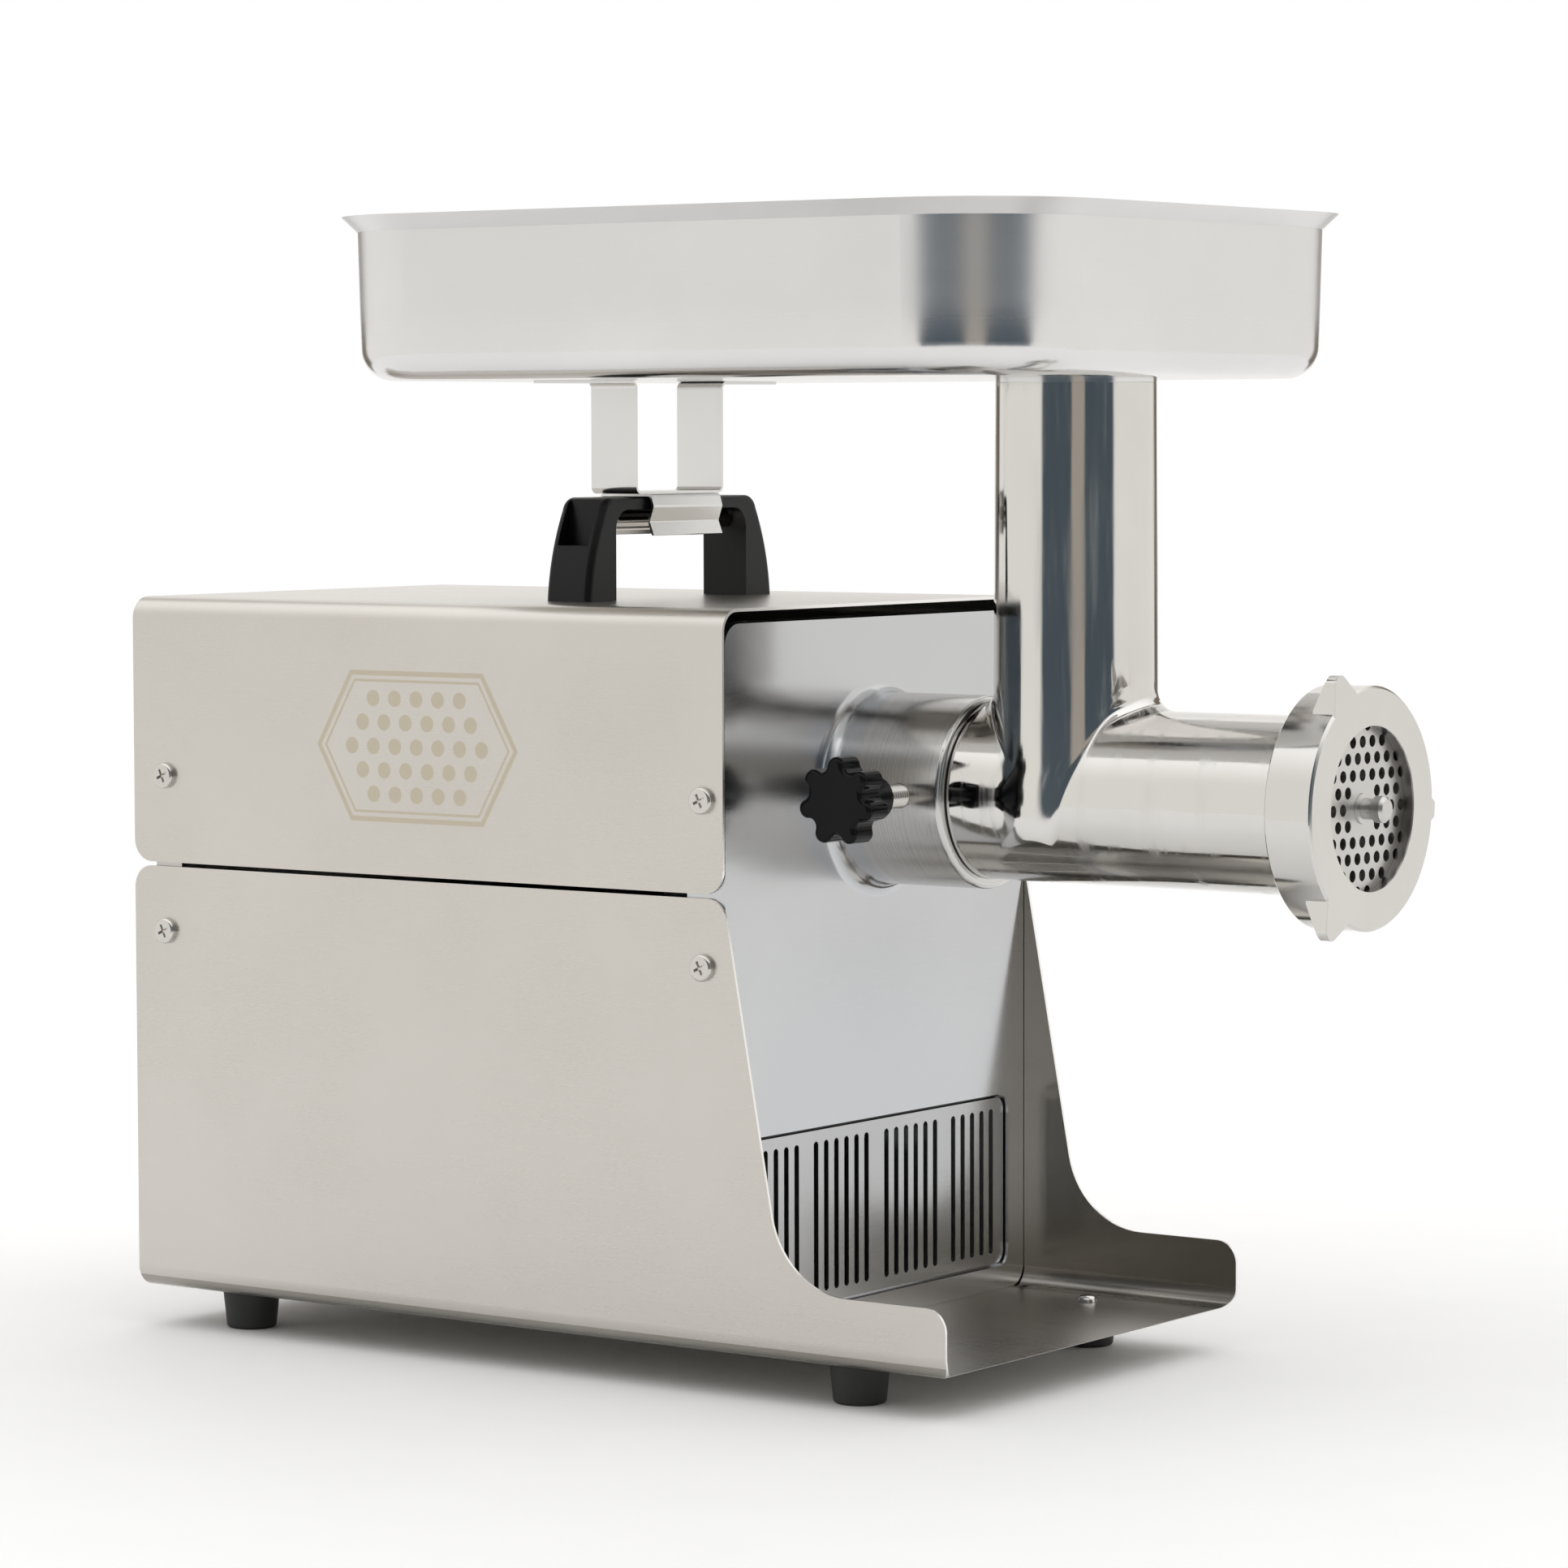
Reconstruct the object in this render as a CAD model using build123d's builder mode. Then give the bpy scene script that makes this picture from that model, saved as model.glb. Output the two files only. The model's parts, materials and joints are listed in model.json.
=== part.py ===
from build123d import *
from math import acos, atan2, cos, pi, radians, sin, tan
import os

# Electric meat grinder, millimetres. X is across the machine, -Y is the front where the minced meat
# comes out, Z is up. The origin lies on the bench, under the middle of the machine.
os.makedirs("parts", exist_ok=True)


# ---------------------------------------------------------------- driving dimensions

# sheet-metal body
body_w = 208.4
body_len = 300.0
body_top = 300.6
front_y = -36.0
rear_y = front_y + body_len
foot_h = 16.2
cover_drop = 108.2
seam = 1.7
sheet = 1.2
bend_r = 9.0
clear = 0.3
touch = 0.05

cover_low = body_top - cover_drop
tray_top = cover_low - seam
tray_z = foot_h
half_w = body_w / 2
inner_half = half_w - sheet
floor_z = tray_z + sheet

# tray apron under the meat outlet
apron_reach = 101.5
apron_h = 27.2
apron_lean = 10.5
apron_knee_r = 35.0
apron_y = front_y - apron_reach
apron_top = tray_z + apron_h

# side screws, counted from the body's front and rear edges and from the seam
screw_head_r = 5.25
screw_head_h = 2.4
screw_r = 2.45
screw_in_front = 9.6
screw_in_rear = 17.1
screw_above_seam = 35.5
screw_below_seam = 26.4

# front casting
cast_t = 6.0
cast_flange_t = 4.0
cast_depth = 18.0
cast_top_gap = 4.5
cast_corner_r = 9.0
cast_w = 2 * (inner_half - clear)
cast_low = floor_z + touch
cast_high = body_top - sheet - cast_top_gap
cast_back = front_y + cast_depth

# barrel line
axis_z = 227.7
barrel_r = 33.6
barrel_wall = 5.1
bore_r = barrel_r - barrel_wall
collar_wall = 4.0
collar_r = barrel_r + collar_wall
collar_len = 53.7
collar_end = front_y - collar_len
spigot_end = front_y - 7.7

# knife, hole plate and ring nut at the mouth
plate_r = 35.0
plate_t = 6.0
plate_hole_r = 2.25
plate_pitch = 7.15
plate_clear_r = 10.0
knife_t = 8.4
lip_t = 4.4
ring_front = -257.9
ring_depth = 20.0
ring_wall = 4.5
thread_r = plate_r + 6.0
ring_r = thread_r + ring_wall + 0.1
ring_mouth_r = 30.85
lug_r = 56.0
lug_angles = (117.0, 235.5, -3.5)
lug_set_backs = (0.0, 0.0, 4.6)
lug_depth = 9.5
lug_slope = 6.0
plate_front = ring_front + lip_t
plate_back = plate_front + plate_t
head_front = plate_front + 0.6
recess_back = plate_back + knife_t + 1.2
ring_back = ring_front + ring_depth

# feed tube and pan throat
tube_y = -127.4
tube_top_r = 30.9
tube_draft = 0.9
tube_low_r = tube_top_r + tube_draft
tube_wall = 2.5
tube_in_r = tube_top_r - tube_wall
tube_top = 385.8
throat_out_r = tube_in_r - clear
throat_in_r = throat_out_r - 1.0
throat_drop = 40.0

# feed pan
pan_half_w = 127.6
pan_front = -181.7
pan_back = 148.2
pan_len = pan_back - pan_front
pan_mid = (pan_front + pan_back) / 2
pan_corner_r = 48.2
pan_low = tube_top + 1.9
pan_wall_h = 58.0
pan_draft = 1.5
pan_floor_r = 12.5
pan_sheet = 1.0
rim_h = 6.0
rim_out = 6.4

# carrying handle and the pan's clip
handle_y = 71.7
handle_w = 21.7
handle_half = 61.7
handle_top_half = 44.7
handle_corner_in = 10.0
handle_corner_drop = 4.9
handle_rise = 40.9
handle_leg = 18.2
grip_t = 4.9
rod_r = 3.9
handle_top = body_top + handle_rise
grip_low = handle_top - grip_t
rod_z = grip_low - 0.6 - rod_r

clip_half = 23.0
clip_t = 1.0
bracket_half = 28.6
bracket_w = 22.6
bracket_y = 73.0
bracket_flange = 66.0
bracket_low = handle_top + 0.2 + clip_t

# clamping knob
knob_y = front_y - 35.0
stud_r = 4.7
knob_face = -81.0
knob_head_t = 13.0
knob_len = 27.5
knob_lobes = 7
knob_tip_r = 17.1
knob_valley_r = 12.7
lobe_r = 3.7

# rubber feet
foot_top_r = 11.75
foot_low_r = 10.1
foot_x = 80.0
foot_front = front_y - 46.0
foot_rear = rear_y - 40.0

# gear train: rotor pinion, layshaft pair and output wheel stand one under another
pressure = radians(25.0)
backlash = 0.12
mod_out = 2.0
out_teeth = 56
lay_pinion_teeth = 14
mod_in = 1.5
lay_teeth = 60
rotor_teeth = 12
out_centre = mod_out * (out_teeth + lay_pinion_teeth) / 2
in_centre = mod_in * (lay_teeth + rotor_teeth) / 2
lay_z = axis_z - out_centre
motor_z = lay_z - in_centre
out_tip_r = mod_out * (out_teeth / 2 + 1)
lay_tip_r = mod_in * (lay_teeth / 2 + 1)
rotor_tip_r = mod_in * (rotor_teeth / 2 + 1)

case_front = cast_back + 1.0
case_wall = 5.0
case_in = case_front + case_wall
case_depth = 34.0
case_back = case_in + case_depth
case_cover_t = 6.0
case_rear = case_back + case_cover_t
out_gear_y = (case_in + 4.0, case_in + 22.0)
lay_gear_y = (case_back - 10.0, case_back - 2.0)
rotor_pinion_y = (case_back - 11.0, case_back - 1.0)
case_out_r = out_tip_r + 5.0
case_lay_r = lay_tip_r + 3.5
case_low_r = rotor_tip_r + 13.5

# shafts and bearings
shaft_r = 10.0
shaft_rear_r = 7.5
run = 0.04
front_bearing_r = 23.5
front_bearing_w = 13.0
rear_bearing_r = 17.5
rear_bearing_w = 11.0
lay_shaft_r = 7.0
lay_bush_r = 9.5
bush_wall = 3.0
drive_flats = 11.0

# motor
motor_r = 50.5
stator_r = 48.0
stator_in_r = 31.0
armature_r = 30.4
rotor_shaft_r = 6.0
motor_bearing_r = 16.0
motor_bearing_w = 10.0
bell_wall = 2.4
motor_front = case_rear
stator_front = motor_front + 22.0
stator_len = 60.0
stator_back = stator_front + stator_len
motor_back = stator_back + 40.0
commutator_r = 15.0
fan_r = 44.0

# rear panel, sunk into the body's open back
panel_sink = 10.5
panel_y = rear_y - panel_sink
panel_flange = 13.8
panel_in = panel_y - sheet


# ---------------------------------------------------------------- shared shapes


def across(y):
    """Plane square to the barrel line at the given y, drawn in X and Z; it faces the front."""
    return Plane(origin=(0, y, 0), x_dir=(1, 0, 0), z_dir=(0, -1, 0))


def line_axis(z):
    """Axis that runs to the rear at height z in the middle of the machine."""
    return Axis((0, 0, z), (0, 1, 0))


def turned(z, stations, mode=Mode.ADD):
    """Part turned about the rearward axis at height z; stations are (y, radius) from front to rear."""
    first = (stations[0][0], 0)
    last = (stations[-1][0], 0)
    with BuildSketch(Plane(origin=(0, 0, z), x_dir=(0, 1, 0), z_dir=(1, 0, 0))) as profile:
        with BuildLine():
            Polyline(first, *stations, last, close=True)
        make_face()
    revolve(profile.sketch, axis=line_axis(z), mode=mode)


def turned_ring(z, outer, inner, y0, y1, mode=Mode.ADD):
    """Plain sleeve on the rearward axis at height z."""
    with BuildSketch(across(y1)) as sleeve:
        with Locations((0, z)):
            Circle(outer)
            Circle(inner, mode=Mode.SUBTRACT)
    extrude(sleeve.sketch, amount=y1 - y0, mode=mode)


def bored(z, radius, y0, y1, x=0.0):
    """Cut a round hole along Y."""
    with BuildSketch(across(y1)) as hole:
        with Locations((x, z)):
            Circle(radius)
    extrude(hole.sketch, amount=y1 - y0, mode=Mode.SUBTRACT)


def channel(width, height, bend, lift):
    """Section of a bent sheet with two side walls; the walls reach up for lift 1 and down for -1."""
    RectangleRounded(width, 2 * height, bend)
    RectangleRounded(width - 2 * sheet, 2 * (height - sheet), bend - sheet, mode=Mode.SUBTRACT)
    keep = Align.MIN if lift > 0 else Align.MAX
    Rectangle(width + 2, height + 2, align=(Align.CENTER, keep), mode=Mode.SUBTRACT)


def gear_face(teeth, module, z, phase):
    """Spur gear outline with involute flanks around height z, one tooth centred on the angle phase."""
    pitch_r = teeth * module / 2
    base_r = pitch_r * cos(pressure)
    tip_r = pitch_r + module
    root_r = pitch_r - 1.25 * module
    start_r = max(base_r, root_r)
    half_tooth = pi / (2 * teeth) - backlash / (2 * pitch_r)
    involute = tan(pressure) - pressure

    def at(radius, angle):
        return (radius * cos(angle), z + radius * sin(angle))

    def flank(radius):
        roll = acos(min(1.0, base_r / radius))
        return half_tooth + involute - (tan(roll) - roll)

    radii = [start_r + (tip_r - start_r) * i / 4 for i in range(5)]
    with BuildLine() as rim:
        for i in range(teeth):
            mid = radians(phase) + 2 * pi * i / teeth
            end = mid + 2 * pi / teeth
            foot = flank(start_r)
            if start_r > root_r:
                Line(at(root_r, mid - foot), at(start_r, mid - foot))
            Spline([at(r, mid - flank(r)) for r in radii])
            ThreePointArc(at(tip_r, mid - flank(tip_r)), at(tip_r, mid), at(tip_r, mid + flank(tip_r)))
            Spline([at(r, mid + flank(r)) for r in reversed(radii)])
            if start_r > root_r:
                Line(at(start_r, mid + foot), at(root_r, mid + foot))
            ThreePointArc(at(root_r, mid + foot), at(root_r, mid + pi / teeth), at(root_r, end - foot))
    make_face(rim.edges())


def gear(teeth, module, z, phase, y0, y1):
    """Spur gear between y0 and y1."""
    with BuildSketch(across(y1)) as wheel:
        gear_face(teeth, module, z, phase)
    extrude(wheel.sketch, amount=y1 - y0)


def save(built, name):
    """Name a finished piece and write it out."""
    built.part.label = name
    export_step(built.part, f"parts/{name}.step")


# ---------------------------------------------------------------- sheet-metal body

screw_y = (front_y + screw_in_front, rear_y - screw_in_rear)
screw_up_z = cover_low + screw_above_seam
screw_down_z = tray_top - screw_below_seam


def side_holes(z, radius):
    """Clearance holes for the side screws at one height, through both side walls."""
    for y in screw_y:
        with BuildSketch(Plane.YZ.offset(-half_w - 1)) as hole:
            with Locations((y, z)):
                Circle(radius)
        extrude(hole.sketch, amount=body_w + 2, mode=Mode.SUBTRACT)


# The cover is one sheet bent down at both sides.
with BuildPart() as upper_cover:
    with BuildSketch(across(rear_y)):
        with Locations((0, cover_low)):
            channel(body_w, cover_drop, bend_r, -1)
    extrude(amount=body_len)
    with BuildSketch(Plane.YZ) as cover_side:
        with Locations(((front_y + rear_y) / 2, cover_low)):
            Rectangle(body_len, cover_drop, align=(Align.CENTER, Align.MIN))
        fillet(cover_side.vertices().group_by(Axis.Y)[0], radius=bend_r)
    extrude(amount=half_w, both=True, mode=Mode.INTERSECT)
    side_holes(screw_up_z, screw_r + touch)
    with BuildSketch(Plane.XY.offset(body_top - 2 * sheet)):
        for x in (-1, 1):
            with Locations((x * (handle_half - handle_leg / 2), handle_y)):
                Circle(screw_r + touch)
    extrude(amount=3 * sheet, mode=Mode.SUBTRACT)
save(upper_cover, "upper_cover")

# The tray carries everything; its floor runs out in front as an apron for the bowl.
knee_y = front_y - (tray_top - apron_top) * tan(radians(apron_lean))

with BuildPart() as lower_tray:
    with BuildSketch(across(rear_y)):
        with Locations((0, tray_top)):
            channel(body_w, tray_top - tray_z, bend_r, 1)
    extrude(amount=rear_y - apron_y)
    with BuildSketch(Plane.YZ) as tray_side:
        with BuildLine():
            Polyline(
                (rear_y, tray_top),
                (front_y, tray_top),
                (knee_y, apron_top),
                (apron_y, apron_top),
                (apron_y, tray_z),
                (rear_y, tray_z),
                close=True,
            )
        make_face()
        fillet(tray_side.vertices().sort_by_distance((knee_y, apron_top))[0], radius=apron_knee_r)
        fillet(tray_side.vertices().sort_by_distance((apron_y, apron_top))[0], radius=bend_r)
        fillet(tray_side.vertices().sort_by_distance((apron_y, tray_z))[0], radius=bend_r - 2)
        fillet(tray_side.vertices().sort_by_distance((front_y, tray_top))[0], radius=bend_r)
        fillet(tray_side.vertices().sort_by_distance((rear_y, tray_top))[0], radius=bend_r)
    extrude(amount=half_w, both=True, mode=Mode.INTERSECT)
    side_holes(screw_down_z, screw_r + touch)
    with BuildSketch(Plane.XY.offset(tray_z - 1)):
        for x in (-foot_x, foot_x):
            for y in (foot_front, foot_rear):
                with Locations((x, y)):
                    Circle(screw_r + touch)
    extrude(amount=sheet + 2, mode=Mode.SUBTRACT)
save(lower_tray, "lower_tray")

# Pan-head screws hold cover and tray to the casting in front and the panel behind.
with BuildPart() as side_screws:
    for side in (-1, 1):
        for y in screw_y:
            for z in (screw_up_z, screw_down_z):
                seat = Plane(origin=(side * (half_w + touch), y, z), x_dir=(0, 1, 0), z_dir=(side, 0, 0))
                with BuildSketch(seat):
                    Circle(screw_head_r)
                extrude(amount=screw_head_h)
                with BuildSketch(seat):
                    Circle(screw_r)
                extrude(amount=-9.0)
    rims = side_screws.edges().filter_by(GeomType.CIRCLE)
    fillet([e for e in rims if abs(e.center().X) > half_w + screw_head_h - 0.1], radius=1.2)
    for side in (-1, 1):
        for y in screw_y:
            for z in (screw_up_z, screw_down_z):
                face = side * (half_w + touch + screw_head_h)
                with BuildSketch(Plane(origin=(face, y, z), x_dir=(0, 1, 0), z_dir=(side, 0, 0))):
                    Rectangle(5.6, 1.1, rotation=25)
                    Rectangle(1.1, 5.6, rotation=25)
                extrude(amount=-1.5, mode=Mode.SUBTRACT)
save(side_screws, "side_screws")

# ---------------------------------------------------------------- feet

foot_spots = [(x, y) for x in (-foot_x, foot_x) for y in (foot_front, foot_rear)]
insert_r = 4.0
insert_z = (4.0, 13.0)

with BuildPart() as rubber_feet:
    for x, y in foot_spots:
        with BuildSketch(Plane.XY):
            with Locations((x, y)):
                Circle(foot_low_r)
        with BuildSketch(Plane.XY.offset(foot_h)):
            with Locations((x, y)):
                Circle(foot_top_r)
        loft()
    fillet(rubber_feet.edges().filter_by(GeomType.CIRCLE).group_by(Axis.Z)[0], radius=1.5)
    with BuildSketch(Plane.XY.offset(insert_z[0])):
        for x, y in foot_spots:
            with Locations((x, y)):
                Circle(insert_r)
    extrude(amount=insert_z[1] - insert_z[0], mode=Mode.SUBTRACT)
    with BuildSketch(Plane.XY.offset(insert_z[1])):
        for x, y in foot_spots:
            with Locations((x, y)):
                Circle(screw_r + touch)
    extrude(amount=foot_h, mode=Mode.SUBTRACT)
save(rubber_feet, "rubber_feet")

with BuildPart() as foot_inserts:
    with BuildSketch(Plane.XY.offset(insert_z[0] + touch)):
        for x, y in foot_spots:
            with Locations((x, y)):
                Circle(insert_r - touch)
                Circle(screw_r + touch, mode=Mode.SUBTRACT)
    extrude(amount=insert_z[1] - insert_z[0] - 2 * touch)
save(foot_inserts, "foot_inserts")

dome_r = 4.2
dome_h = 2.6

with BuildPart() as foot_screws:
    with BuildSketch(Plane.XY.offset(floor_z + touch)):
        for x, y in foot_spots:
            with Locations((x, y)):
                Circle(dome_r)
    extrude(amount=dome_h)
    fillet(foot_screws.edges().filter_by(GeomType.CIRCLE).group_by(Axis.Z)[-1], radius=2.2)
    with BuildSketch(Plane.XY.offset(insert_z[0] + 1.0)):
        for x, y in foot_spots:
            with Locations((x, y)):
                Circle(screw_r)
    extrude(amount=floor_z - insert_z[0])
save(foot_screws, "foot_screws")

# ---------------------------------------------------------------- front casting

vent_half = 90.4
vent_low = tray_z + 11.8
vent_high = vent_low + 68.0
vent_corner = 5.0
vent_gap = 1.0
vent_mid = (vent_low + vent_high) / 2
vent_h = vent_high - vent_low
ledge = 3.5
post_r = 6.5
post_x_up = out_tip_r * 0.955
post_z_up = axis_z + out_tip_r * 0.55
post_x_low = lay_tip_r + 8.0
post_z_low = lay_z - 8.0
post_spots = [
    (-post_x_up, post_z_up),
    (post_x_up, post_z_up),
    (-post_x_low, post_z_low),
    (post_x_low, post_z_low),
]
seal_r = 15.0
seal_w = 7.0
bearing_front = front_y + 5.0
web_hole_r = shaft_r + 1.0

with BuildPart() as front_casting:
    with BuildSketch(across(cast_back)):
        with Locations((0, (cast_low + cast_high) / 2)):
            RectangleRounded(cast_w, cast_high - cast_low, cast_corner_r)
    extrude(amount=cast_depth)
    with BuildSketch(across(cast_back)):
        with Locations((0, (cast_low + cast_high) / 2)):
            RectangleRounded(
                cast_w - 2 * cast_flange_t,
                cast_high - cast_low - 2 * cast_flange_t,
                cast_corner_r - cast_flange_t,
            )
    extrude(amount=cast_depth - cast_t, mode=Mode.SUBTRACT)
    # collar for the grinder head, blended into the face
    with BuildSketch(across(front_y + 1)):
        with Locations((0, axis_z)):
            Circle(collar_r)
    extrude(amount=collar_len + 1)
    foot_edge = [
        e
        for e in front_casting.edges().filter_by(GeomType.CIRCLE)
        if abs(e.center().Y - front_y) < 0.1 and abs(e.radius - collar_r) < 0.1
    ]
    fillet(foot_edge, radius=5.5)
    fillet(front_casting.edges().filter_by(GeomType.CIRCLE).sort_by(Axis.Y)[0], radius=2.2)
    # bearing boss and screw posts behind the face
    with BuildSketch(across(cast_back)):
        with Locations((0, axis_z)):
            Circle(front_bearing_r + 5)
        with Locations(*post_spots):
            Circle(post_r)
    extrude(amount=cast_depth - cast_t + 0.5)
    bored(axis_z, front_bearing_r + touch, bearing_front, cast_back)
    bored(axis_z, seal_r + touch, bearing_front - seal_w, cast_back)
    bored(axis_z, web_hole_r, spigot_end - 1, cast_back)
    bored(axis_z, barrel_r + touch, collar_end - 1, spigot_end + touch)
    for x, z in post_spots:
        bored(z, screw_r + touch, cast_back - 10, cast_back, x)
    # vent opening with a ledge that carries the grille
    with BuildSketch(across(front_y + 4.0)):
        with Locations((0, vent_mid)):
            RectangleRounded(2 * (vent_half + vent_gap), vent_h + 2 * vent_gap, vent_corner + vent_gap)
    extrude(amount=4.5, mode=Mode.SUBTRACT)
    with BuildSketch(across(front_y + cast_t + 0.5)):
        with Locations((0, vent_mid)):
            RectangleRounded(2 * (vent_half - ledge), vent_h - 2 * ledge, vent_corner)
    extrude(amount=cast_t, mode=Mode.SUBTRACT)
    # threaded hole for the clamping stud
    with BuildSketch(Plane(origin=(0, knob_y, axis_z), x_dir=(0, 1, 0), z_dir=(-1, 0, 0))):
        Circle(stud_r + 0.08)
    extrude(amount=collar_r + 1, mode=Mode.SUBTRACT)
    side_holes(screw_up_z, screw_r + touch)
    side_holes(screw_down_z, screw_r + touch)
save(front_casting, "front_casting")

slot_w = 3.1
slot_pitch = 6.85
slot_h = 59.3
slot_x = [6.9 + slot_pitch * i for i in range(6)] + [54.1 + slot_pitch * i for i in range(5)]

with BuildPart() as vent_grille:
    with BuildSketch(across(front_y + 4.0 - touch)):
        with Locations((0, vent_mid)):
            RectangleRounded(2 * vent_half, vent_h, vent_corner)
        for x in slot_x:
            with Locations((x, vent_mid), (-x, vent_mid)):
                SlotOverall(slot_h, slot_w, rotation=90, mode=Mode.SUBTRACT)
    extrude(amount=2.0)
save(vent_grille, "vent_grille")

with BuildPart() as shaft_seal:
    turned_ring(axis_z, seal_r, shaft_r + run, bearing_front - seal_w + touch, bearing_front - touch)
save(shaft_seal, "shaft_seal")

# ---------------------------------------------------------------- gearbox


def case_hull(shrink):
    """Egg-shaped outline round the three shafts, drawn in by shrink."""
    with Locations((0, axis_z)):
        Circle(case_out_r - shrink)
    with Locations((0, lay_z)):
        Circle(case_lay_r - shrink)
    with Locations((0, motor_z)):
        Circle(case_low_r - shrink)
    make_hull()


with BuildPart() as gearbox_case:
    with BuildSketch(across(case_back)):
        case_hull(0)
    extrude(amount=case_back - case_front)
    with BuildSketch(across(case_back)):
        with Locations(*post_spots):
            Circle(post_r)
    extrude(amount=case_back - case_front)
    with BuildSketch(across(case_back)):
        case_hull(3.0)
    extrude(amount=case_depth, mode=Mode.SUBTRACT)
    with BuildSketch(across(case_in + 3)):
        with Locations((0, lay_z)):
            Circle(lay_bush_r + bush_wall)
    extrude(amount=case_wall)
    bored(axis_z, web_hole_r, case_front - 1, case_back)
    bored(lay_z, lay_bush_r + touch, case_front - 1, case_back)
    for x, z in post_spots:
        bored(z, screw_r + touch, case_front - 1, case_back + 1, x)
save(gearbox_case, "gearbox_case")

rear_boss = rear_bearing_w + 1.0
bolt_ring = stator_r - 3.0

with BuildPart() as gearbox_cover:
    with BuildSketch(across(case_rear)):
        case_hull(0)
    extrude(amount=case_cover_t)
    with BuildSketch(across(case_rear)):
        with Locations(*post_spots):
            Circle(post_r)
        with Locations((0, motor_z)):
            Circle(motor_r)
    extrude(amount=case_cover_t)
    with BuildSketch(across(case_back + rear_boss)):
        with Locations((0, axis_z)):
            Circle(rear_bearing_r + 4)
    extrude(amount=rear_boss)
    bored(axis_z, rear_bearing_r + touch, case_back + 1, case_back + rear_boss + 1)
    bored(axis_z, shaft_rear_r + 2, case_back - 1, case_back + 2)
    bored(lay_z, lay_bush_r + touch, case_back - 1, case_rear + 1)
    bored(motor_z, rotor_tip_r + 1, case_back - 1, case_rear + 1)
    for x, z in post_spots:
        bored(z, screw_r + touch, case_back - 1, case_rear + 1, x)
    for x in (-bolt_ring, bolt_ring):
        bored(motor_z, 2.0 + touch, case_back - 1, case_rear + 1, x)
save(gearbox_cover, "gearbox_cover")

with BuildPart() as gearbox_screws:
    for x, z in post_spots:
        with BuildSketch(across(case_rear + 4.0)):
            with Locations((x, z)):
                Circle(4.2)
        extrude(amount=4.0 - touch)
        with BuildSketch(across(case_rear + 1)):
            with Locations((x, z)):
                Circle(screw_r)
        extrude(amount=case_rear + 1 - (cast_back - 9))
        with BuildSketch(across(case_rear + 4.0)):
            with Locations((x, z)):
                RegularPolygon(2.3, 6, mode=Mode.ADD)
        extrude(amount=2.4, mode=Mode.SUBTRACT)
save(gearbox_screws, "gearbox_screws")

with BuildPart() as output_bearings:
    turned_ring(
        axis_z,
        front_bearing_r,
        shaft_r + run,
        bearing_front + touch,
        bearing_front + front_bearing_w,
    )
    turned_ring(
        axis_z,
        rear_bearing_r,
        shaft_rear_r + run,
        case_back + 1 + touch,
        case_back + 1 + rear_bearing_w,
    )
save(output_bearings, "output_bearings")

with BuildPart() as layshaft_bushes:
    turned_ring(lay_z, lay_bush_r, lay_shaft_r + run, case_front + touch, case_in + 3)
    turned_ring(lay_z, lay_bush_r, lay_shaft_r + run, case_back, case_rear - touch)
save(layshaft_bushes, "layshaft_bushes")

# ---------------------------------------------------------------- turning pieces of the gearbox

shaft_nose = spigot_end + 1.4
shaft_tail = case_back + rear_bearing_w
hex_r = drive_flats / 2 / cos(pi / 6)
socket_end = shaft_nose + 14.0

with BuildPart() as output_shaft:
    turned(
        axis_z,
        [
            (shaft_nose, shaft_r),
            (out_gear_y[1] + 2, shaft_r),
            (out_gear_y[1] + 2, shaft_rear_r),
            (shaft_tail, shaft_rear_r),
        ],
    )
    with BuildSketch(across(socket_end)):
        with Locations((0, axis_z)):
            RegularPolygon(hex_r + 0.1, 6)
    extrude(amount=15.0, mode=Mode.SUBTRACT)
save(output_shaft, "output_shaft")

with BuildPart() as output_gear:
    gear(out_teeth, mod_out, axis_z, -90 + 180 / out_teeth, out_gear_y[0], out_gear_y[1])
    for y0, y1 in ((out_gear_y[0] - 1, out_gear_y[0] + 4), (out_gear_y[1] - 4, out_gear_y[1] + 1)):
        with BuildSketch(across(y1)):
            with Locations((0, axis_z)):
                Circle(out_tip_r - 11)
                Circle(shaft_r + 8, mode=Mode.SUBTRACT)
        extrude(amount=y1 - y0, mode=Mode.SUBTRACT)
    bored(axis_z, shaft_r + 0.01, out_gear_y[0] - 1, out_gear_y[1] + 1)
save(output_gear, "output_gear")

with BuildPart() as layshaft:
    turned(
        lay_z,
        [
            (case_front + 0.5, lay_shaft_r),
            (out_gear_y[0], lay_shaft_r),
            (out_gear_y[0], lay_shaft_r + 2.5),
            (lay_gear_y[0], lay_shaft_r + 2.5),
            (lay_gear_y[0], lay_shaft_r + 1),
            (lay_gear_y[1] + 1, lay_shaft_r + 1),
            (lay_gear_y[1] + 1, lay_shaft_r),
            (case_rear - 0.5, lay_shaft_r),
        ],
    )
    gear(lay_pinion_teeth, mod_out, lay_z, 90, out_gear_y[0] - 0.5, out_gear_y[1] + 0.5)
save(layshaft, "layshaft")

with BuildPart() as layshaft_gear:
    gear(lay_teeth, mod_in, lay_z, -90 + 180 / lay_teeth, lay_gear_y[0], lay_gear_y[1])
    with BuildSketch(across(lay_gear_y[1] + 1)):
        with Locations((0, lay_z)):
            with PolarLocations(25.0, 6):
                Circle(8.0)
    extrude(amount=lay_gear_y[1] - lay_gear_y[0] + 2, mode=Mode.SUBTRACT)
    bored(lay_z, lay_shaft_r + 1.01, lay_gear_y[0] - 1, lay_gear_y[1] + 1)
save(layshaft_gear, "layshaft_gear")

# ---------------------------------------------------------------- motor


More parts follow.
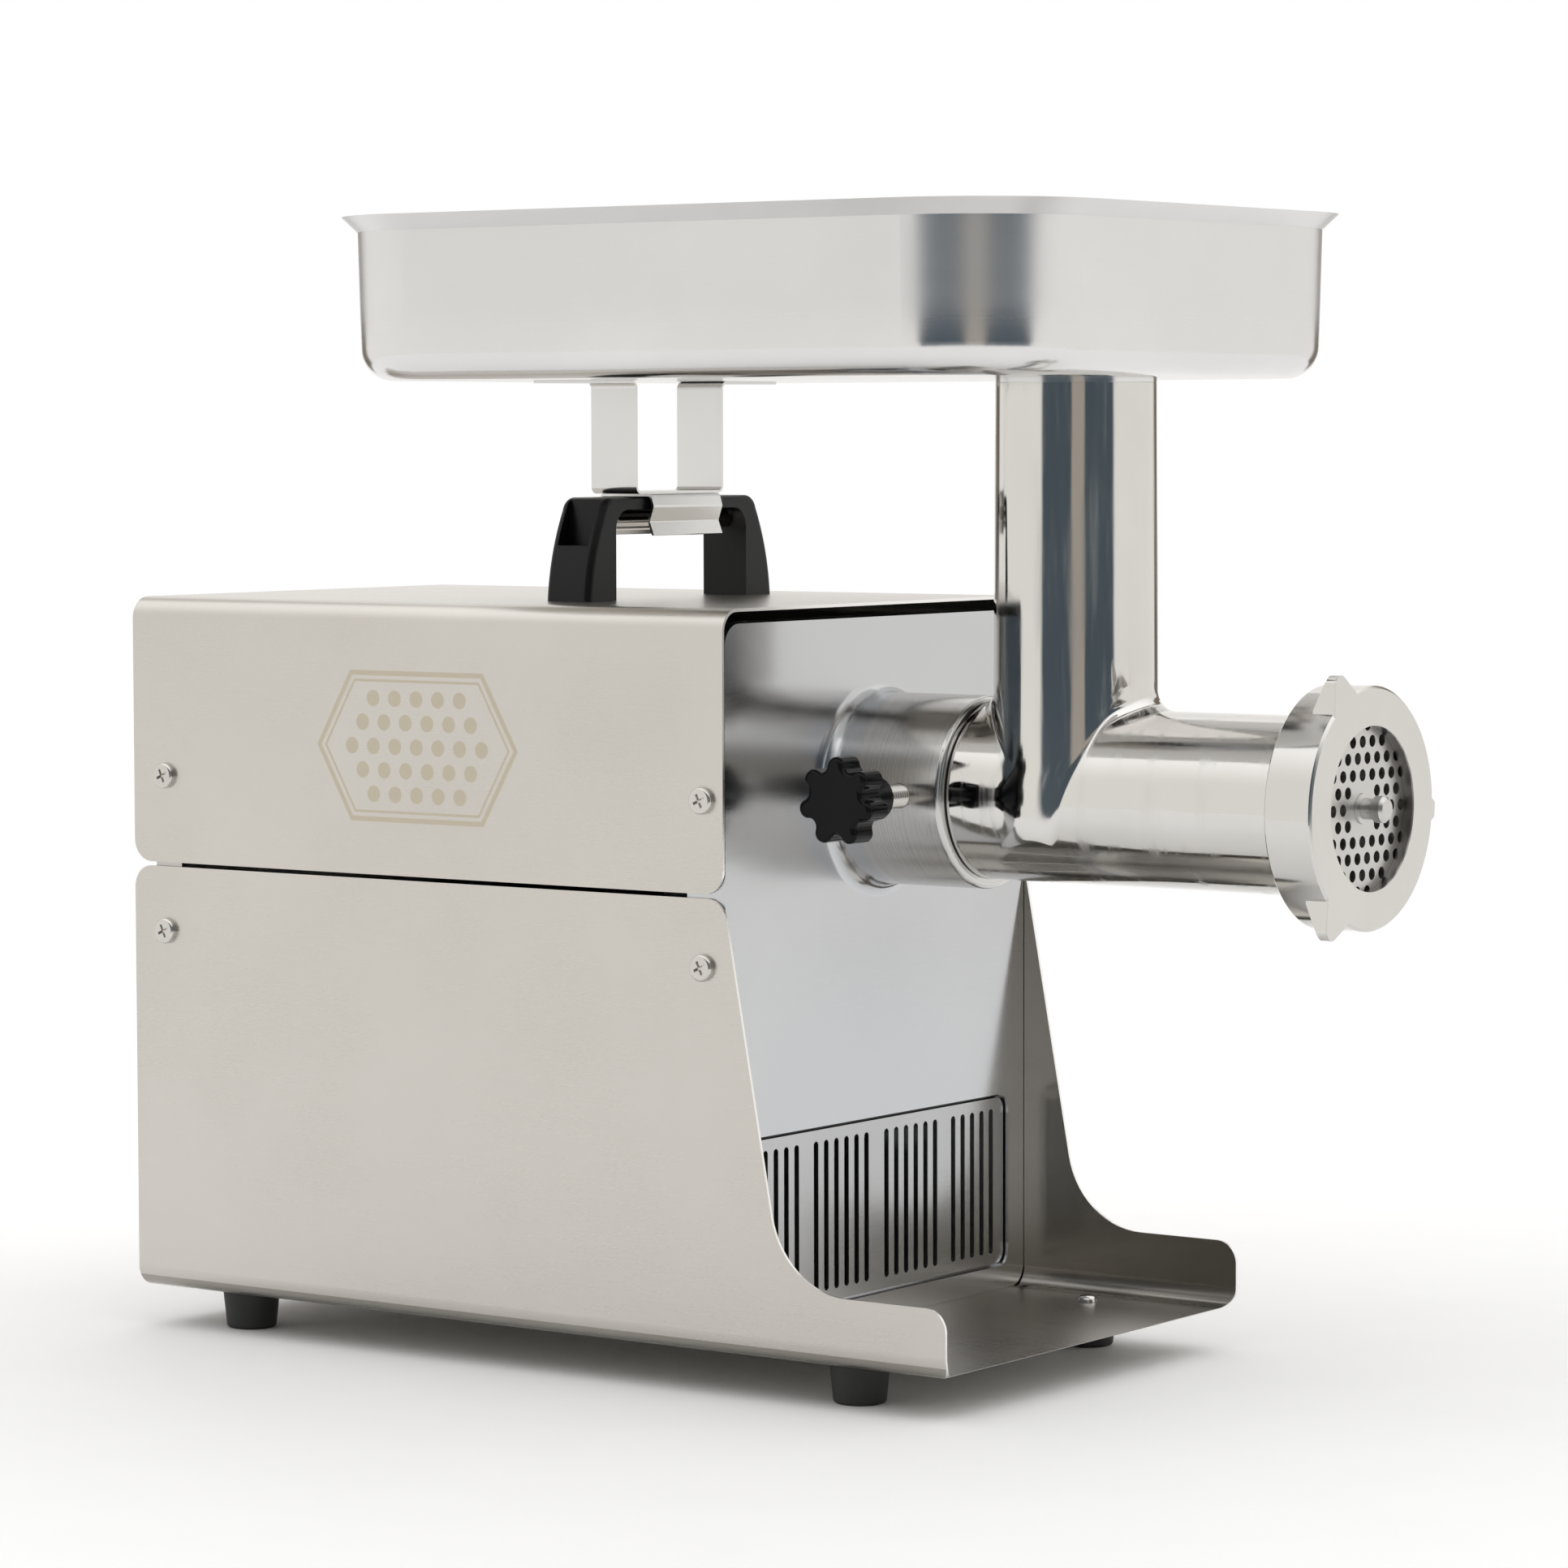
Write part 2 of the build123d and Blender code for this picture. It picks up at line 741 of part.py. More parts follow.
def fan_sector(r0, r1, a0, a1):
    """Piece of a ring between two radii and two angles, around the motor axis."""

    def at(radius, angle):
        return (radius * cos(radians(angle)), motor_z + radius * sin(radians(angle)))

    mid = (a0 + a1) / 2
    with BuildLine() as edge:
        ThreePointArc(at(r0, a0), at(r0, mid), at(r0, a1))
        Line(at(r0, a1), at(r1, a1))
        ThreePointArc(at(r1, a1), at(r1, mid), at(r1, a0))
        Line(at(r1, a0), at(r0, a0))
    make_face(edge.edges())


coil_r = (33.5, 41.5)
coil_overhang = 6.0

with BuildPart() as stator_core:
    turned_ring(motor_z, stator_r, stator_in_r, stator_front, stator_back)
    for start in (36, 118, 216, 298):
        with BuildSketch(across(stator_back)):
            fan_sector(coil_r[0] - 0.3, coil_r[1] + 0.3, start - 1, start + 27)
        extrude(amount=stator_len, mode=Mode.SUBTRACT)
    for x in (-bolt_ring, bolt_ring):
        bored(motor_z, 2.0 + touch, stator_front - 1, stator_back + 1, x)
save(stator_core, "stator_core")

with BuildPart() as field_coils:
    for start in (36, 216):
        with BuildSketch(across(stator_back + coil_overhang)):
            fan_sector(coil_r[0], coil_r[1], start, start + 108)
        extrude(amount=stator_len + 2 * coil_overhang)
        with BuildSketch(across(stator_back + 0.3)):
            fan_sector(coil_r[0] - 1, coil_r[1] + 1, start + 26, start + 82)
        extrude(amount=stator_len + 0.6, mode=Mode.SUBTRACT)
save(field_coils, "field_coils")


def bell(floor_y0, floor_y1, rim_y0, rim_y1, seat_y0, seat_y1):
    """Motor end bell: a floor with a bearing seat and a rim that holds the stator."""
    turned_ring(motor_z, motor_r, rotor_tip_r + 1, floor_y0, floor_y1)
    turned_ring(motor_z, motor_r, stator_r + touch, rim_y0, rim_y1)
    turned_ring(motor_z, motor_bearing_r + bell_wall, motor_bearing_r + touch, seat_y0, seat_y1)
    for x in (-bolt_ring, bolt_ring):
        bored(motor_z, 2.0 + touch, floor_y0 - 1, floor_y1 + 1, x)


front_seat = motor_front + 3.0

with BuildPart() as motor_front_bell:
    bell(
        motor_front + touch,
        motor_front + 3.0,
        motor_front + touch,
        stator_front + 8,
        motor_front + 2,
        front_seat + motor_bearing_w,
    )
save(motor_front_bell, "motor_front_bell")

rear_seat = motor_back - 3.0
brush_y = stator_back + 20.0

with BuildPart() as motor_rear_bell:
    bell(
        motor_back - 3.0,
        motor_back,
        stator_back - 8,
        motor_back,
        rear_seat - motor_bearing_w,
        motor_back - 2,
    )
    with BuildSketch(across(stator_back + 30.0)):
        for start in (25, 115, 205, 295):
            fan_sector(stator_r - 1, motor_r + 1, start, start + 40)
    extrude(amount=20.0, mode=Mode.SUBTRACT)
save(motor_rear_bell, "motor_rear_bell")

with BuildPart() as motor_bearings:
    front_end = front_seat + motor_bearing_w
    rear_start = rear_seat - motor_bearing_w
    turned_ring(motor_z, motor_bearing_r, rotor_shaft_r + run, front_seat + touch, front_end)
    turned_ring(motor_z, motor_bearing_r, rotor_shaft_r + run, rear_start, rear_seat - touch)
save(motor_bearings, "motor_bearings")

brush_w = 6.0


def brush_plane(side, reach):
    """Plane square to a brush, above (side 1) or below (side -1) the motor axis."""
    origin = (0, brush_y, motor_z + side * reach)
    return Plane(origin=origin, x_dir=(1, 0, 0), z_dir=(0, 0, side))


with BuildPart() as brush_holders:
    for side in (-1, 1):
        with BuildSketch(brush_plane(side, commutator_r + 3)):
            Rectangle(brush_w + 4, brush_w + 4)
            Rectangle(brush_w + 2 * touch, brush_w + 2 * touch, mode=Mode.SUBTRACT)
        extrude(amount=stator_r - commutator_r - 3 - clear)
save(brush_holders, "brush_holders")

with BuildPart() as carbon_brushes:
    for side in (-1, 1):
        with BuildSketch(brush_plane(side, commutator_r + 0.5)):
            Rectangle(brush_w, brush_w)
        extrude(amount=18.0)
save(carbon_brushes, "carbon_brushes")

with BuildPart() as motor_bolts:
    for x in (-bolt_ring, bolt_ring):
        with BuildSketch(across(motor_back + 3.0)):
            with Locations((x, motor_z)):
                Circle(3.5)
        extrude(amount=3.0 - touch)
        with BuildSketch(across(motor_back + 1)):
            with Locations((x, motor_z)):
                Circle(2.0)
        extrude(amount=motor_back + 1 - case_back - 1)
save(motor_bolts, "motor_bolts")

with BuildPart() as rotor_shaft:
    turned(
        motor_z,
        [
            (rotor_pinion_y[0], rotor_shaft_r - 1),
            (motor_front - 1, rotor_shaft_r - 1),
            (motor_front - 1, rotor_shaft_r),
            (motor_back + 22, rotor_shaft_r),
        ],
    )
    gear(rotor_teeth, mod_in, motor_z, 90, rotor_pinion_y[0], rotor_pinion_y[1])
save(rotor_shaft, "rotor_shaft")

with BuildPart() as armature_core:
    with BuildSketch(across(stator_back - 2)):
        with Locations((0, motor_z)):
            Circle(armature_r)
            Circle(rotor_shaft_r + 0.01, mode=Mode.SUBTRACT)
            with PolarLocations(armature_r - 5, 12):
                SlotOverall(11.0, 3.6, mode=Mode.SUBTRACT)
    extrude(amount=stator_len - 4)
save(armature_core, "armature_core")

with BuildPart() as armature_winding:
    for y0 in (stator_front - 6, stator_back - 2):
        turned_ring(motor_z, armature_r - 4, rotor_shaft_r + 5, y0, y0 + 8)
    fillet(armature_winding.edges().filter_by(GeomType.CIRCLE).group_by(Axis.Y)[0], radius=2.5)
    fillet(armature_winding.edges().filter_by(GeomType.CIRCLE).group_by(Axis.Y)[-1], radius=2.5)
save(armature_winding, "armature_winding")

with BuildPart() as commutator:
    turned_ring(motor_z, commutator_r, rotor_shaft_r + 0.01, stator_back + 9, stator_back + 27)
save(commutator, "commutator")

with BuildPart() as cooling_fan:
    turned_ring(motor_z, fan_r, rotor_shaft_r + 0.01, motor_back + 6, motor_back + 8)
    turned_ring(motor_z, rotor_shaft_r + 6, rotor_shaft_r + 0.01, motor_back + 6, motor_back + 20)
    with BuildSketch(across(motor_back + 20)):
        with Locations((0, motor_z)):
            with PolarLocations((fan_r + 14) / 2, 8):
                Rectangle(fan_r - 16, 1.8)
    extrude(amount=13.0)
save(cooling_fan, "cooling_fan")

with BuildPart() as motor_cradle:
    cradle_len = motor_back - motor_front
    with BuildSketch(Plane.XY.offset(floor_z + touch)):
        with Locations((0, motor_front + cradle_len / 2)):
            Rectangle(92.0, cradle_len)
    extrude(amount=2.0)
    for y in (motor_front + 10.0, motor_back - 4.0):
        with BuildSketch(across(y)):
            with Locations((0, floor_z + touch)):
                Rectangle(92.0, motor_z - floor_z - 20, align=(Align.CENTER, Align.MIN))
            with Locations((0, motor_z)):
                Circle(motor_r + 0.1, mode=Mode.SUBTRACT)
        extrude(amount=3.0)
save(motor_cradle, "motor_cradle")

# ---------------------------------------------------------------- rear panel and its fittings

switch_x = -52.0
switch_z = screw_up_z
rocker_w = 12.0
rocker_r = 12.0
breaker_x = 0.0
gland_x = 52.0
gland_z = tray_z + 44.0
gland_bore = 3.75
gland_thread = 7.6
panel_low = floor_z + touch
panel_high = body_top - sheet - touch

with BuildPart() as rear_panel:
    with BuildSketch(across(panel_y)):
        with Locations((0, (panel_low + panel_high) / 2)):
            RectangleRounded(cast_w, panel_high - panel_low, bend_r - sheet)
    extrude(amount=panel_flange)
    with BuildSketch(across(panel_in)):
        with Locations((0, (panel_low + panel_high) / 2)):
            RectangleRounded(cast_w - 2 * sheet, panel_high - panel_low - 2 * sheet, bend_r - 2 * sheet)
    extrude(amount=panel_flange, mode=Mode.SUBTRACT)
    with BuildSketch(across(panel_y + 1)):
        with Locations((switch_x, switch_z)):
            Rectangle(rocker_w + 3.2, 2 * rocker_r + 4.2)
        with Locations((breaker_x, switch_z)):
            Circle(5.0 + touch)
        with Locations((gland_x, gland_z)):
            Circle(gland_thread + touch)
        with Locations((0, motor_z)):
            with GridLocations(9.0, 0, 7, 1):
                SlotOverall(46.0, 3.0, rotation=90)
    extrude(amount=sheet + 2, mode=Mode.SUBTRACT)
    side_holes(screw_up_z, screw_r + touch)
    side_holes(screw_down_z, screw_r + touch)
save(rear_panel, "rear_panel")

pivot_y = panel_y - 3.0
bezel_t = 2.0


def pivot_plane(x):
    """Plane square to X through the rocker's pivot, drawn in Y and Z."""
    return Plane(origin=(x, pivot_y, switch_z), x_dir=(0, 1, 0), z_dir=(1, 0, 0))


with BuildPart() as switch_body:
    with BuildSketch(across(panel_y + 1)):
        with Locations((switch_x, switch_z)):
            Rectangle(rocker_w + 3.0, 2 * rocker_r + 4.0)
    extrude(amount=27.0)
    with BuildSketch(across(panel_y + bezel_t)):
        with Locations((switch_x, switch_z)):
            RectangleRounded(rocker_w + 7, 2 * rocker_r + 8, 2.0)
    extrude(amount=bezel_t - touch)
    with BuildSketch(pivot_plane(switch_x - rocker_w / 2 - 0.3)):
        Circle(rocker_r + 0.3)
    extrude(amount=rocker_w + 0.6, mode=Mode.SUBTRACT)
save(switch_body, "switch_body")

with BuildPart() as rocker_button:
    with BuildSketch(pivot_plane(switch_x - rocker_w / 2)):
        Circle(rocker_r)
        with BuildLine():
            Polyline((-1.5, -20), (-1.5, 20), (9.0, 20), (5.6, 0), (9.0, -20), close=True)
        make_face(mode=Mode.INTERSECT)
    extrude(amount=rocker_w)
save(rocker_button, "rocker_button")

breaker_out = 3.5

with BuildPart() as breaker_body:
    with BuildSketch(across(panel_in - touch)):
        with Locations((breaker_x, switch_z)):
            Rectangle(18.0, 30.0)
    extrude(amount=24.0)
    with BuildSketch(across(panel_y + breaker_out)):
        with Locations((breaker_x, switch_z)):
            Circle(5.0)
    extrude(amount=breaker_out + sheet + 1)
    with BuildSketch(across(panel_y + breaker_out)):
        with Locations((breaker_x, switch_z)):
            Circle(3.5 + 0.08)
    extrude(amount=15.0, mode=Mode.SUBTRACT)
save(breaker_body, "breaker_body")

with BuildPart() as breaker_nut:
    with BuildSketch(across(panel_y + 2.5)):
        with Locations((breaker_x, switch_z)):
            RegularPolygon(8.0, 6)
            Circle(5.0 + touch, mode=Mode.SUBTRACT)
    extrude(amount=2.5 - touch)
save(breaker_nut, "breaker_nut")

with BuildPart() as reset_button:
    with BuildSketch(across(panel_y + breaker_out + 3.0)):
        with Locations((breaker_x, switch_z)):
            Circle(3.5)
    extrude(amount=13.0)
    fillet(reset_button.edges().filter_by(GeomType.CIRCLE).sort_by(Axis.Y)[-1], radius=1.0)
save(reset_button, "reset_button")


def gland_plane(y):
    """Plane square to the cord's way in at the given y."""
    return Plane(origin=(gland_x, y, gland_z), x_dir=(1, 0, 0), z_dir=(0, -1, 0))


with BuildPart() as cord_gland:
    with BuildSketch(gland_plane(panel_y + 4.0)):
        RegularPolygon(11.0, 6)
    extrude(amount=4.0 - touch)
    with BuildSketch(gland_plane(panel_y + 9.5)):
        Circle(8.5)
    extrude(amount=6.0)
    fillet(cord_gland.edges().filter_by(GeomType.CIRCLE).sort_by(Axis.Y)[-1], radius=3.0)
    with BuildSketch(gland_plane(panel_y + 1)):
        Circle(gland_thread)
    extrude(amount=13.0)
    with BuildSketch(gland_plane(panel_y + 10)):
        Circle(gland_bore)
    extrude(amount=24.0, mode=Mode.SUBTRACT)
save(cord_gland, "cord_gland")

with BuildPart() as gland_locknut:
    with BuildSketch(gland_plane(panel_in - touch)):
        RegularPolygon(10.5, 6)
        Circle(gland_thread + touch, mode=Mode.SUBTRACT)
    extrude(amount=5.0)
save(gland_locknut, "gland_locknut")

with BuildPart() as terminal_block:
    with BuildSketch(Plane.XY.offset(floor_z + touch)):
        with Locations((gland_x, panel_in - 35.0)):
            Rectangle(40.0, 20.0)
    extrude(amount=16.0)
    with BuildSketch(Plane.XY.offset(floor_z + 17.0)):
        with Locations((gland_x, panel_in - 35.0)):
            with GridLocations(12.0, 11.0, 3, 2):
                Circle(2.5)
    extrude(amount=-7.0, mode=Mode.SUBTRACT)
save(terminal_block, "terminal_block")

# ---------------------------------------------------------------- grinder head

flare_back = ring_back + 6.5
journal_r = 10.0
bush_out_r = journal_r + bush_wall
head_floor = spigot_end - 7.0
key_r = 1.6
key_len = 4.5
head_blend = 12.0
shoulder_gap = 0.8


def key_plane(drop):
    """Plane at the foot of the pin that keeps the hole plate from turning."""
    origin = (0, plate_back - plate_t / 2, axis_z - plate_r - 2.5 - drop)
    return Plane(origin=origin, x_dir=(1, 0, 0), z_dir=(0, 0, 1))


with BuildPart() as grinder_head:
    turned(
        axis_z,
        [
            (head_front, thread_r),
            (ring_back - 1.0, thread_r),
            (flare_back, barrel_r),
            (spigot_end, barrel_r),
        ],
    )
    with BuildSketch(Plane.XY.offset(axis_z)):
        with Locations((0, tube_y)):
            Circle(tube_low_r)
    with BuildSketch(Plane.XY.offset(tube_top)):
        with Locations((0, tube_y)):
            Circle(tube_top_r)
    loft()
    seams = grinder_head.edges().filter_by(lambda e: axis_z + 1 < e.center().Z < tube_top - 5)
    fillet(seams.filter_by(lambda e: abs(e.center().Y - tube_y) < barrel_r), radius=head_blend)
    # turning the spigot leaves a shoulder where the blend runs towards the collar
    turned_ring(axis_z, barrel_r + head_blend, barrel_r, collar_end - shoulder_gap, spigot_end, Mode.SUBTRACT)
    bored(axis_z, bore_r, recess_back - 1, head_floor)
    bored(axis_z, plate_r + touch, head_front - 1, recess_back)
    bored(axis_z, bush_out_r + touch, head_floor - 1, spigot_end + 1)
    with BuildSketch(Plane.XY.offset(axis_z)):
        with Locations((0, tube_y)):
            Circle(tube_in_r)
    extrude(amount=tube_top - axis_z + 1, mode=Mode.SUBTRACT)
    with BuildSketch(key_plane(touch)):
        Circle(key_r + touch)
    extrude(amount=key_len, mode=Mode.SUBTRACT)
save(grinder_head, "grinder_head")

with BuildPart() as head_bush:
    turned_ring(axis_z, bush_out_r, journal_r + run, head_floor + touch, spigot_end - touch)
save(head_bush, "head_bush")

with BuildPart() as plate_key:
    with BuildSketch(key_plane(0)):
        Circle(key_r)
    extrude(amount=key_len)
save(plate_key, "plate_key")

hole_spots = []
for row in range(-5, 6):
    for col in range(-5, 6):
        hx = (col + 0.5 * (row % 2)) * plate_pitch
        hz = row * plate_pitch * sin(pi / 3)
        if plate_clear_r < (hx * hx + hz * hz) ** 0.5 < plate_r - 3.4:
            hole_spots.append((hx, axis_z + hz))

stud_plate_r = 5.7

with BuildPart() as grinding_plate:
    turned_ring(axis_z, plate_r, stud_plate_r + run, plate_front + touch, plate_back)
    with BuildSketch(across(plate_back + 1)):
        with Locations(*hole_spots):
            Circle(plate_hole_r)
    extrude(amount=plate_t + 2, mode=Mode.SUBTRACT)
    with BuildSketch(across(plate_back + 1)):
        with Locations((0, axis_z - plate_r)):
            Rectangle(2 * key_r + 0.6, 5.6)
    extrude(amount=plate_t + 2, mode=Mode.SUBTRACT)
save(grinding_plate, "grinding_plate")

# ---------------------------------------------------------------- auger, knife and stud

auger_front = recess_back - 0.4
auger_back = head_floor - 1.0
flight_r = bore_r - 0.5
flight_t = 5.0
flight_pitch = 34.0
core_front_r = 15.0
core_back_r = 11.0
square = 9.0
stud_back = auger_front + 22.0
nose_front = ring_front - 6.1

with BuildPart() as auger:
    turned(
        axis_z,
        [
            (auger_front, core_front_r),
            (auger_back, core_back_r),
            (auger_back, journal_r),
            (shaft_nose - 0.4, journal_r),
        ],
    )
    with BuildSketch(across(socket_end - 1.0)):
        with Locations((0, axis_z)):
            RegularPolygon(hex_r, 6)
    extrude(amount=socket_end - shaft_nose + 4)
    flight_mid = (flight_r + 8) / 2
    flight_len = auger_back - auger_front - flight_t - 8
    with BuildLine():
        screw_line = Helix(
            flight_pitch,
            flight_len,
            flight_mid,
            center=(0, auger_back - 6, axis_z),
            direction=(0, -1, 0),
        )
    start = screw_line @ 0
    outward = (start - Vector(0, auger_back - 6, axis_z)).normalized()
    with BuildSketch(Plane(origin=start, x_dir=outward, z_dir=screw_line % 0)):
        Rectangle(flight_r - 8, flight_t)
    sweep(path=screw_line, is_frenet=True)
    bored(axis_z, 6.0, auger_front - 1, stud_back + 1)
save(auger, "auger")

with BuildPart() as auger_stud:
    turned(
        axis_z,
        [
            (nose_front, 3.8),
            (nose_front + 1.2, 5.0),
            (nose_front + 4.4, 5.0),
            (nose_front + 5.4, 4.0),
            (plate_front - 1.0, 4.0),
            (plate_front - 0.6, stud_plate_r),
            (plate_back - 1.0, stud_plate_r),
            (plate_back - 1.0, 4.5),
            (auger_front - 0.5, 4.5),
            (auger_front, 5.98),
            (stud_back, 5.98),
        ],
    )
    with BuildSketch(across(auger_front)):
        with Locations((0, axis_z)):
            Rectangle(square, square)
    extrude(amount=auger_front - plate_back - 0.2)
save(auger_stud, "auger_stud")

with BuildPart() as knife:
    with BuildSketch(across(plate_back + knife_t)):
        with Locations((0, axis_z)):
            Circle(11.0)
            with PolarLocations(0, 4):
                with Locations((18.0, 1.5)):
                    Rectangle(28.0, 8.0)
    extrude(amount=knife_t - touch)
    with BuildSketch(across(plate_back + knife_t)):
        with Locations((0, axis_z)):
            Rectangle(square + 0.04, square + 0.04)
    extrude(amount=knife_t, mode=Mode.SUBTRACT)
save(knife, "knife")

# ---------------------------------------------------------------- ring nut

lug_end = ring_front + lug_depth

with BuildPart() as ring_nut:
    turned(
        axis_z,
        [
            (ring_front, ring_r - 1.0),
            (ring_front + 1.0, ring_r),
            (ring_back - 0.8, ring_r),
            (ring_back, ring_r - 0.8),
        ],
    )
    for angle, set_back in zip(lug_angles, lug_set_backs):
        with BuildSketch(across(lug_end)):
            with Locations((0, axis_z)):
                with PolarLocations(0, 1, start_angle=angle):
                    with Locations((lug_r - 4.0, 0)):
                        Circle(4.0)
                    with Locations((ring_r - 4.0, -8.5), (ring_r - 4.0, 8.5)):
                        Circle(1.5)
            make_hull()
        extrude(amount=lug_depth - set_back)
    # the lugs' backs slope down to the ring
    with BuildSketch(Plane.YZ):
        with BuildLine():
            Polyline(
                (lug_end - lug_slope, axis_z + lug_r + 1),
                (lug_end, axis_z + ring_r + 1),
                (lug_end + 1, axis_z + ring_r + 1),
                (lug_end + 1, axis_z + lug_r + 1),
                close=True,
            )
        make_face()
    revolve(axis=line_axis(axis_z), mode=Mode.SUBTRACT)
    bored(axis_z, ring_mouth_r, ring_front - 1, ring_back + 1)
    bored(axis_z, thread_r + 0.06, plate_front, ring_back + 1)
save(ring_nut, "ring_nut")

# ---------------------------------------------------------------- clamping knob


def knob_plane(x):
    """Plane square to the clamping stud at the given x, facing the machine."""
    return Plane(origin=(x, knob_y, axis_z), x_dir=(0, 1, 0), z_dir=(1, 0, 0))


def polar(radius, angle):
    """Point at a radius and an angle in radians."""
    return (radius * cos(angle), radius * sin(angle))


# Each lobe's arc runs into the hollow beside it without a corner: the two circles touch at the join.
half_lobe = pi / knob_lobes
lobe_reach = knob_tip_r - lobe_r
waist = knob_valley_r - lobe_r
hollow_reach = (lobe_reach**2 - waist**2) / (2 * (lobe_reach * cos(half_lobe) - waist))
share = lobe_r / (lobe_r + hollow_reach - knob_valley_r)
join_x = lobe_reach + share * (hollow_reach * cos(half_lobe) - lobe_reach)
join_y = share * hollow_reach * sin(half_lobe)
join_r = (join_x**2 + join_y**2) ** 0.5
join_angle = atan2(join_y, join_x)

knob_back = knob_face + knob_len
thread_pitch = 1.5
stud_tip = -barrel_r - 0.35

with BuildPart() as knob:
    with BuildSketch(knob_plane(knob_face)):
        with BuildLine():
            for i in range(knob_lobes):
                lobe = pi / 2 + 2 * i * half_lobe
                valley = lobe + half_lobe
                ThreePointArc(
                    polar(join_r, lobe - join_angle),
                    polar(knob_tip_r, lobe),
                    polar(join_r, lobe + join_angle),
                )
                ThreePointArc(
                    polar(join_r, lobe + join_angle),
                    polar(knob_valley_r, valley),
                    polar(join_r, valley + half_lobe - join_angle),
                )
        make_face()
    extrude(amount=knob_head_t)
    fillet(knob.faces().sort_by(Axis.X)[0].edges(), radius=2.0)
    fillet(knob.faces().sort_by(Axis.X)[-1].edges(), radius=1.2)
    with BuildSketch(knob_plane(knob_face + knob_head_t - 1)):
        Circle(10.0)
    with BuildSketch(knob_plane(knob_back)):
        Circle(8.5)
    loft()
    with BuildSketch(knob_plane(knob_face + 5)):
        Circle(stud_r + 0.01)
    extrude(amount=knob_len, mode=Mode.SUBTRACT)
save(knob, "knob")

with BuildPart() as knob_stud:
    thread_n = int((stud_tip - knob_back) / thread_pitch)
    thread_start = stud_tip - 1.0 - thread_n * thread_pitch
    crests = [(knob_face + 5.5, 0), (knob_face + 5.5, stud_r), (thread_start, stud_r)]
    for i in range(thread_n):
        x = thread_start + i * thread_pitch
        crests += [(x + 0.5 * thread_pitch, stud_r - 0.7), (x + thread_pitch, stud_r)]
    crests += [(stud_tip, stud_r - 1.0), (stud_tip, 0)]
    with BuildSketch(Plane(origin=(0, knob_y, axis_z), x_dir=(1, 0, 0), z_dir=(0, -1, 0))):
        with BuildLine():
            Polyline(*crests, close=True)
        make_face()
    revolve(axis=Axis((0, knob_y, axis_z), (1, 0, 0)))
save(knob_stud, "knob_stud")

# ---------------------------------------------------------------- handle

leg_mid = handle_half - handle_leg / 2
pocket_w = 15.5
pocket_low = 22.0
pocket_floor_low = handle_half - 12.0
pocket_floor_top = handle_half - 13.2
shoulder_x = handle_half - handle_corner_in
rod_half = handle_half - handle_leg + 3.0

with BuildPart() as handle_shell:
    with BuildSketch(across(handle_y + handle_w / 2)):
        with BuildLine():
            for side in (-1, 1):
                ThreePointArc(
                    (side * handle_half, body_top + touch),
                    (side * (handle_half - 4.4), body_top + 0.55 * handle_rise),
                    (side * shoulder_x, handle_top - handle_corner_drop),
                )
                ThreePointArc(
                    (side * shoulder_x, handle_top - handle_corner_drop),
                    (side * (shoulder_x - 2.1), handle_top - 0.32 * handle_corner_drop),
                    (side * handle_top_half, handle_top),
                )
            Line((handle_top_half, handle_top), (-handle_top_half, handle_top))
            Line((-handle_half, body_top + touch), (handle_half, body_top + touch))
        make_face()
    extrude(amount=handle_w)
    fillet(handle_shell.edges().filter_by(lambda e: e.center().Z > body_top + 1), radius=2.5)
    with BuildSketch(across(handle_y + handle_w / 2 + 1)) as finger_gap:
        with Locations((0, body_top - 1)):
            Rectangle(
                2 * (handle_half - handle_leg),
                grip_low - body_top + 1,
                align=(Align.CENTER, Align.MIN),
            )
        fillet(finger_gap.vertices().group_by(Axis.Y)[-1], radius=8.0)
    extrude(amount=handle_w + 2, mode=Mode.SUBTRACT)
    with BuildSketch(Plane.YZ.offset(-rod_half)):
        with Locations((handle_y, rod_z)):
            Circle(rod_r + touch)
    extrude(amount=2 * rod_half, mode=Mode.SUBTRACT)
    for side in (-1, 1):
        # lightening pocket in the end face, its floor sloping in towards the grip
        with BuildSketch(across(handle_y + pocket_w / 2)):
            with BuildLine():
                Polyline(
                    (side * pocket_floor_low, body_top + pocket_low),
                    (side * pocket_floor_top, handle_top + 1),
                    (side * (handle_half + 5), handle_top + 1),
                    (side * (handle_half + 5), body_top + pocket_low),
                    close=True,
                )
            make_face()
        extrude(amount=pocket_w, mode=Mode.SUBTRACT)
        with BuildSketch(Plane.XY.offset(body_top)):
            with Locations((side * leg_mid, handle_y)):
                Circle(screw_r + touch)
        extrude(amount=16.0, mode=Mode.SUBTRACT)
save(handle_shell, "handle_shell")

with BuildPart() as handle_rod:
    with BuildSketch(Plane.YZ.offset(-rod_half + touch)):
        with Locations((handle_y, rod_z)):
            Circle(rod_r)
    extrude(amount=2 * (rod_half - touch))
save(handle_rod, "handle_rod")

with BuildPart() as handle_screws:
    for side in (-1, 1):
        with BuildSketch(Plane.XY.offset(body_top - sheet - touch)):
            with Locations((side * leg_mid, handle_y)):
                Circle(screw_head_r)
        extrude(amount=-screw_head_h)
        with BuildSketch(Plane.XY.offset(body_top - 2 * sheet)):
            with Locations((side * leg_mid, handle_y)):
                Circle(screw_r)
        extrude(amount=2 * sheet + 15.0)
save(handle_screws, "handle_screws")

# ---------------------------------------------------------------- feed pan


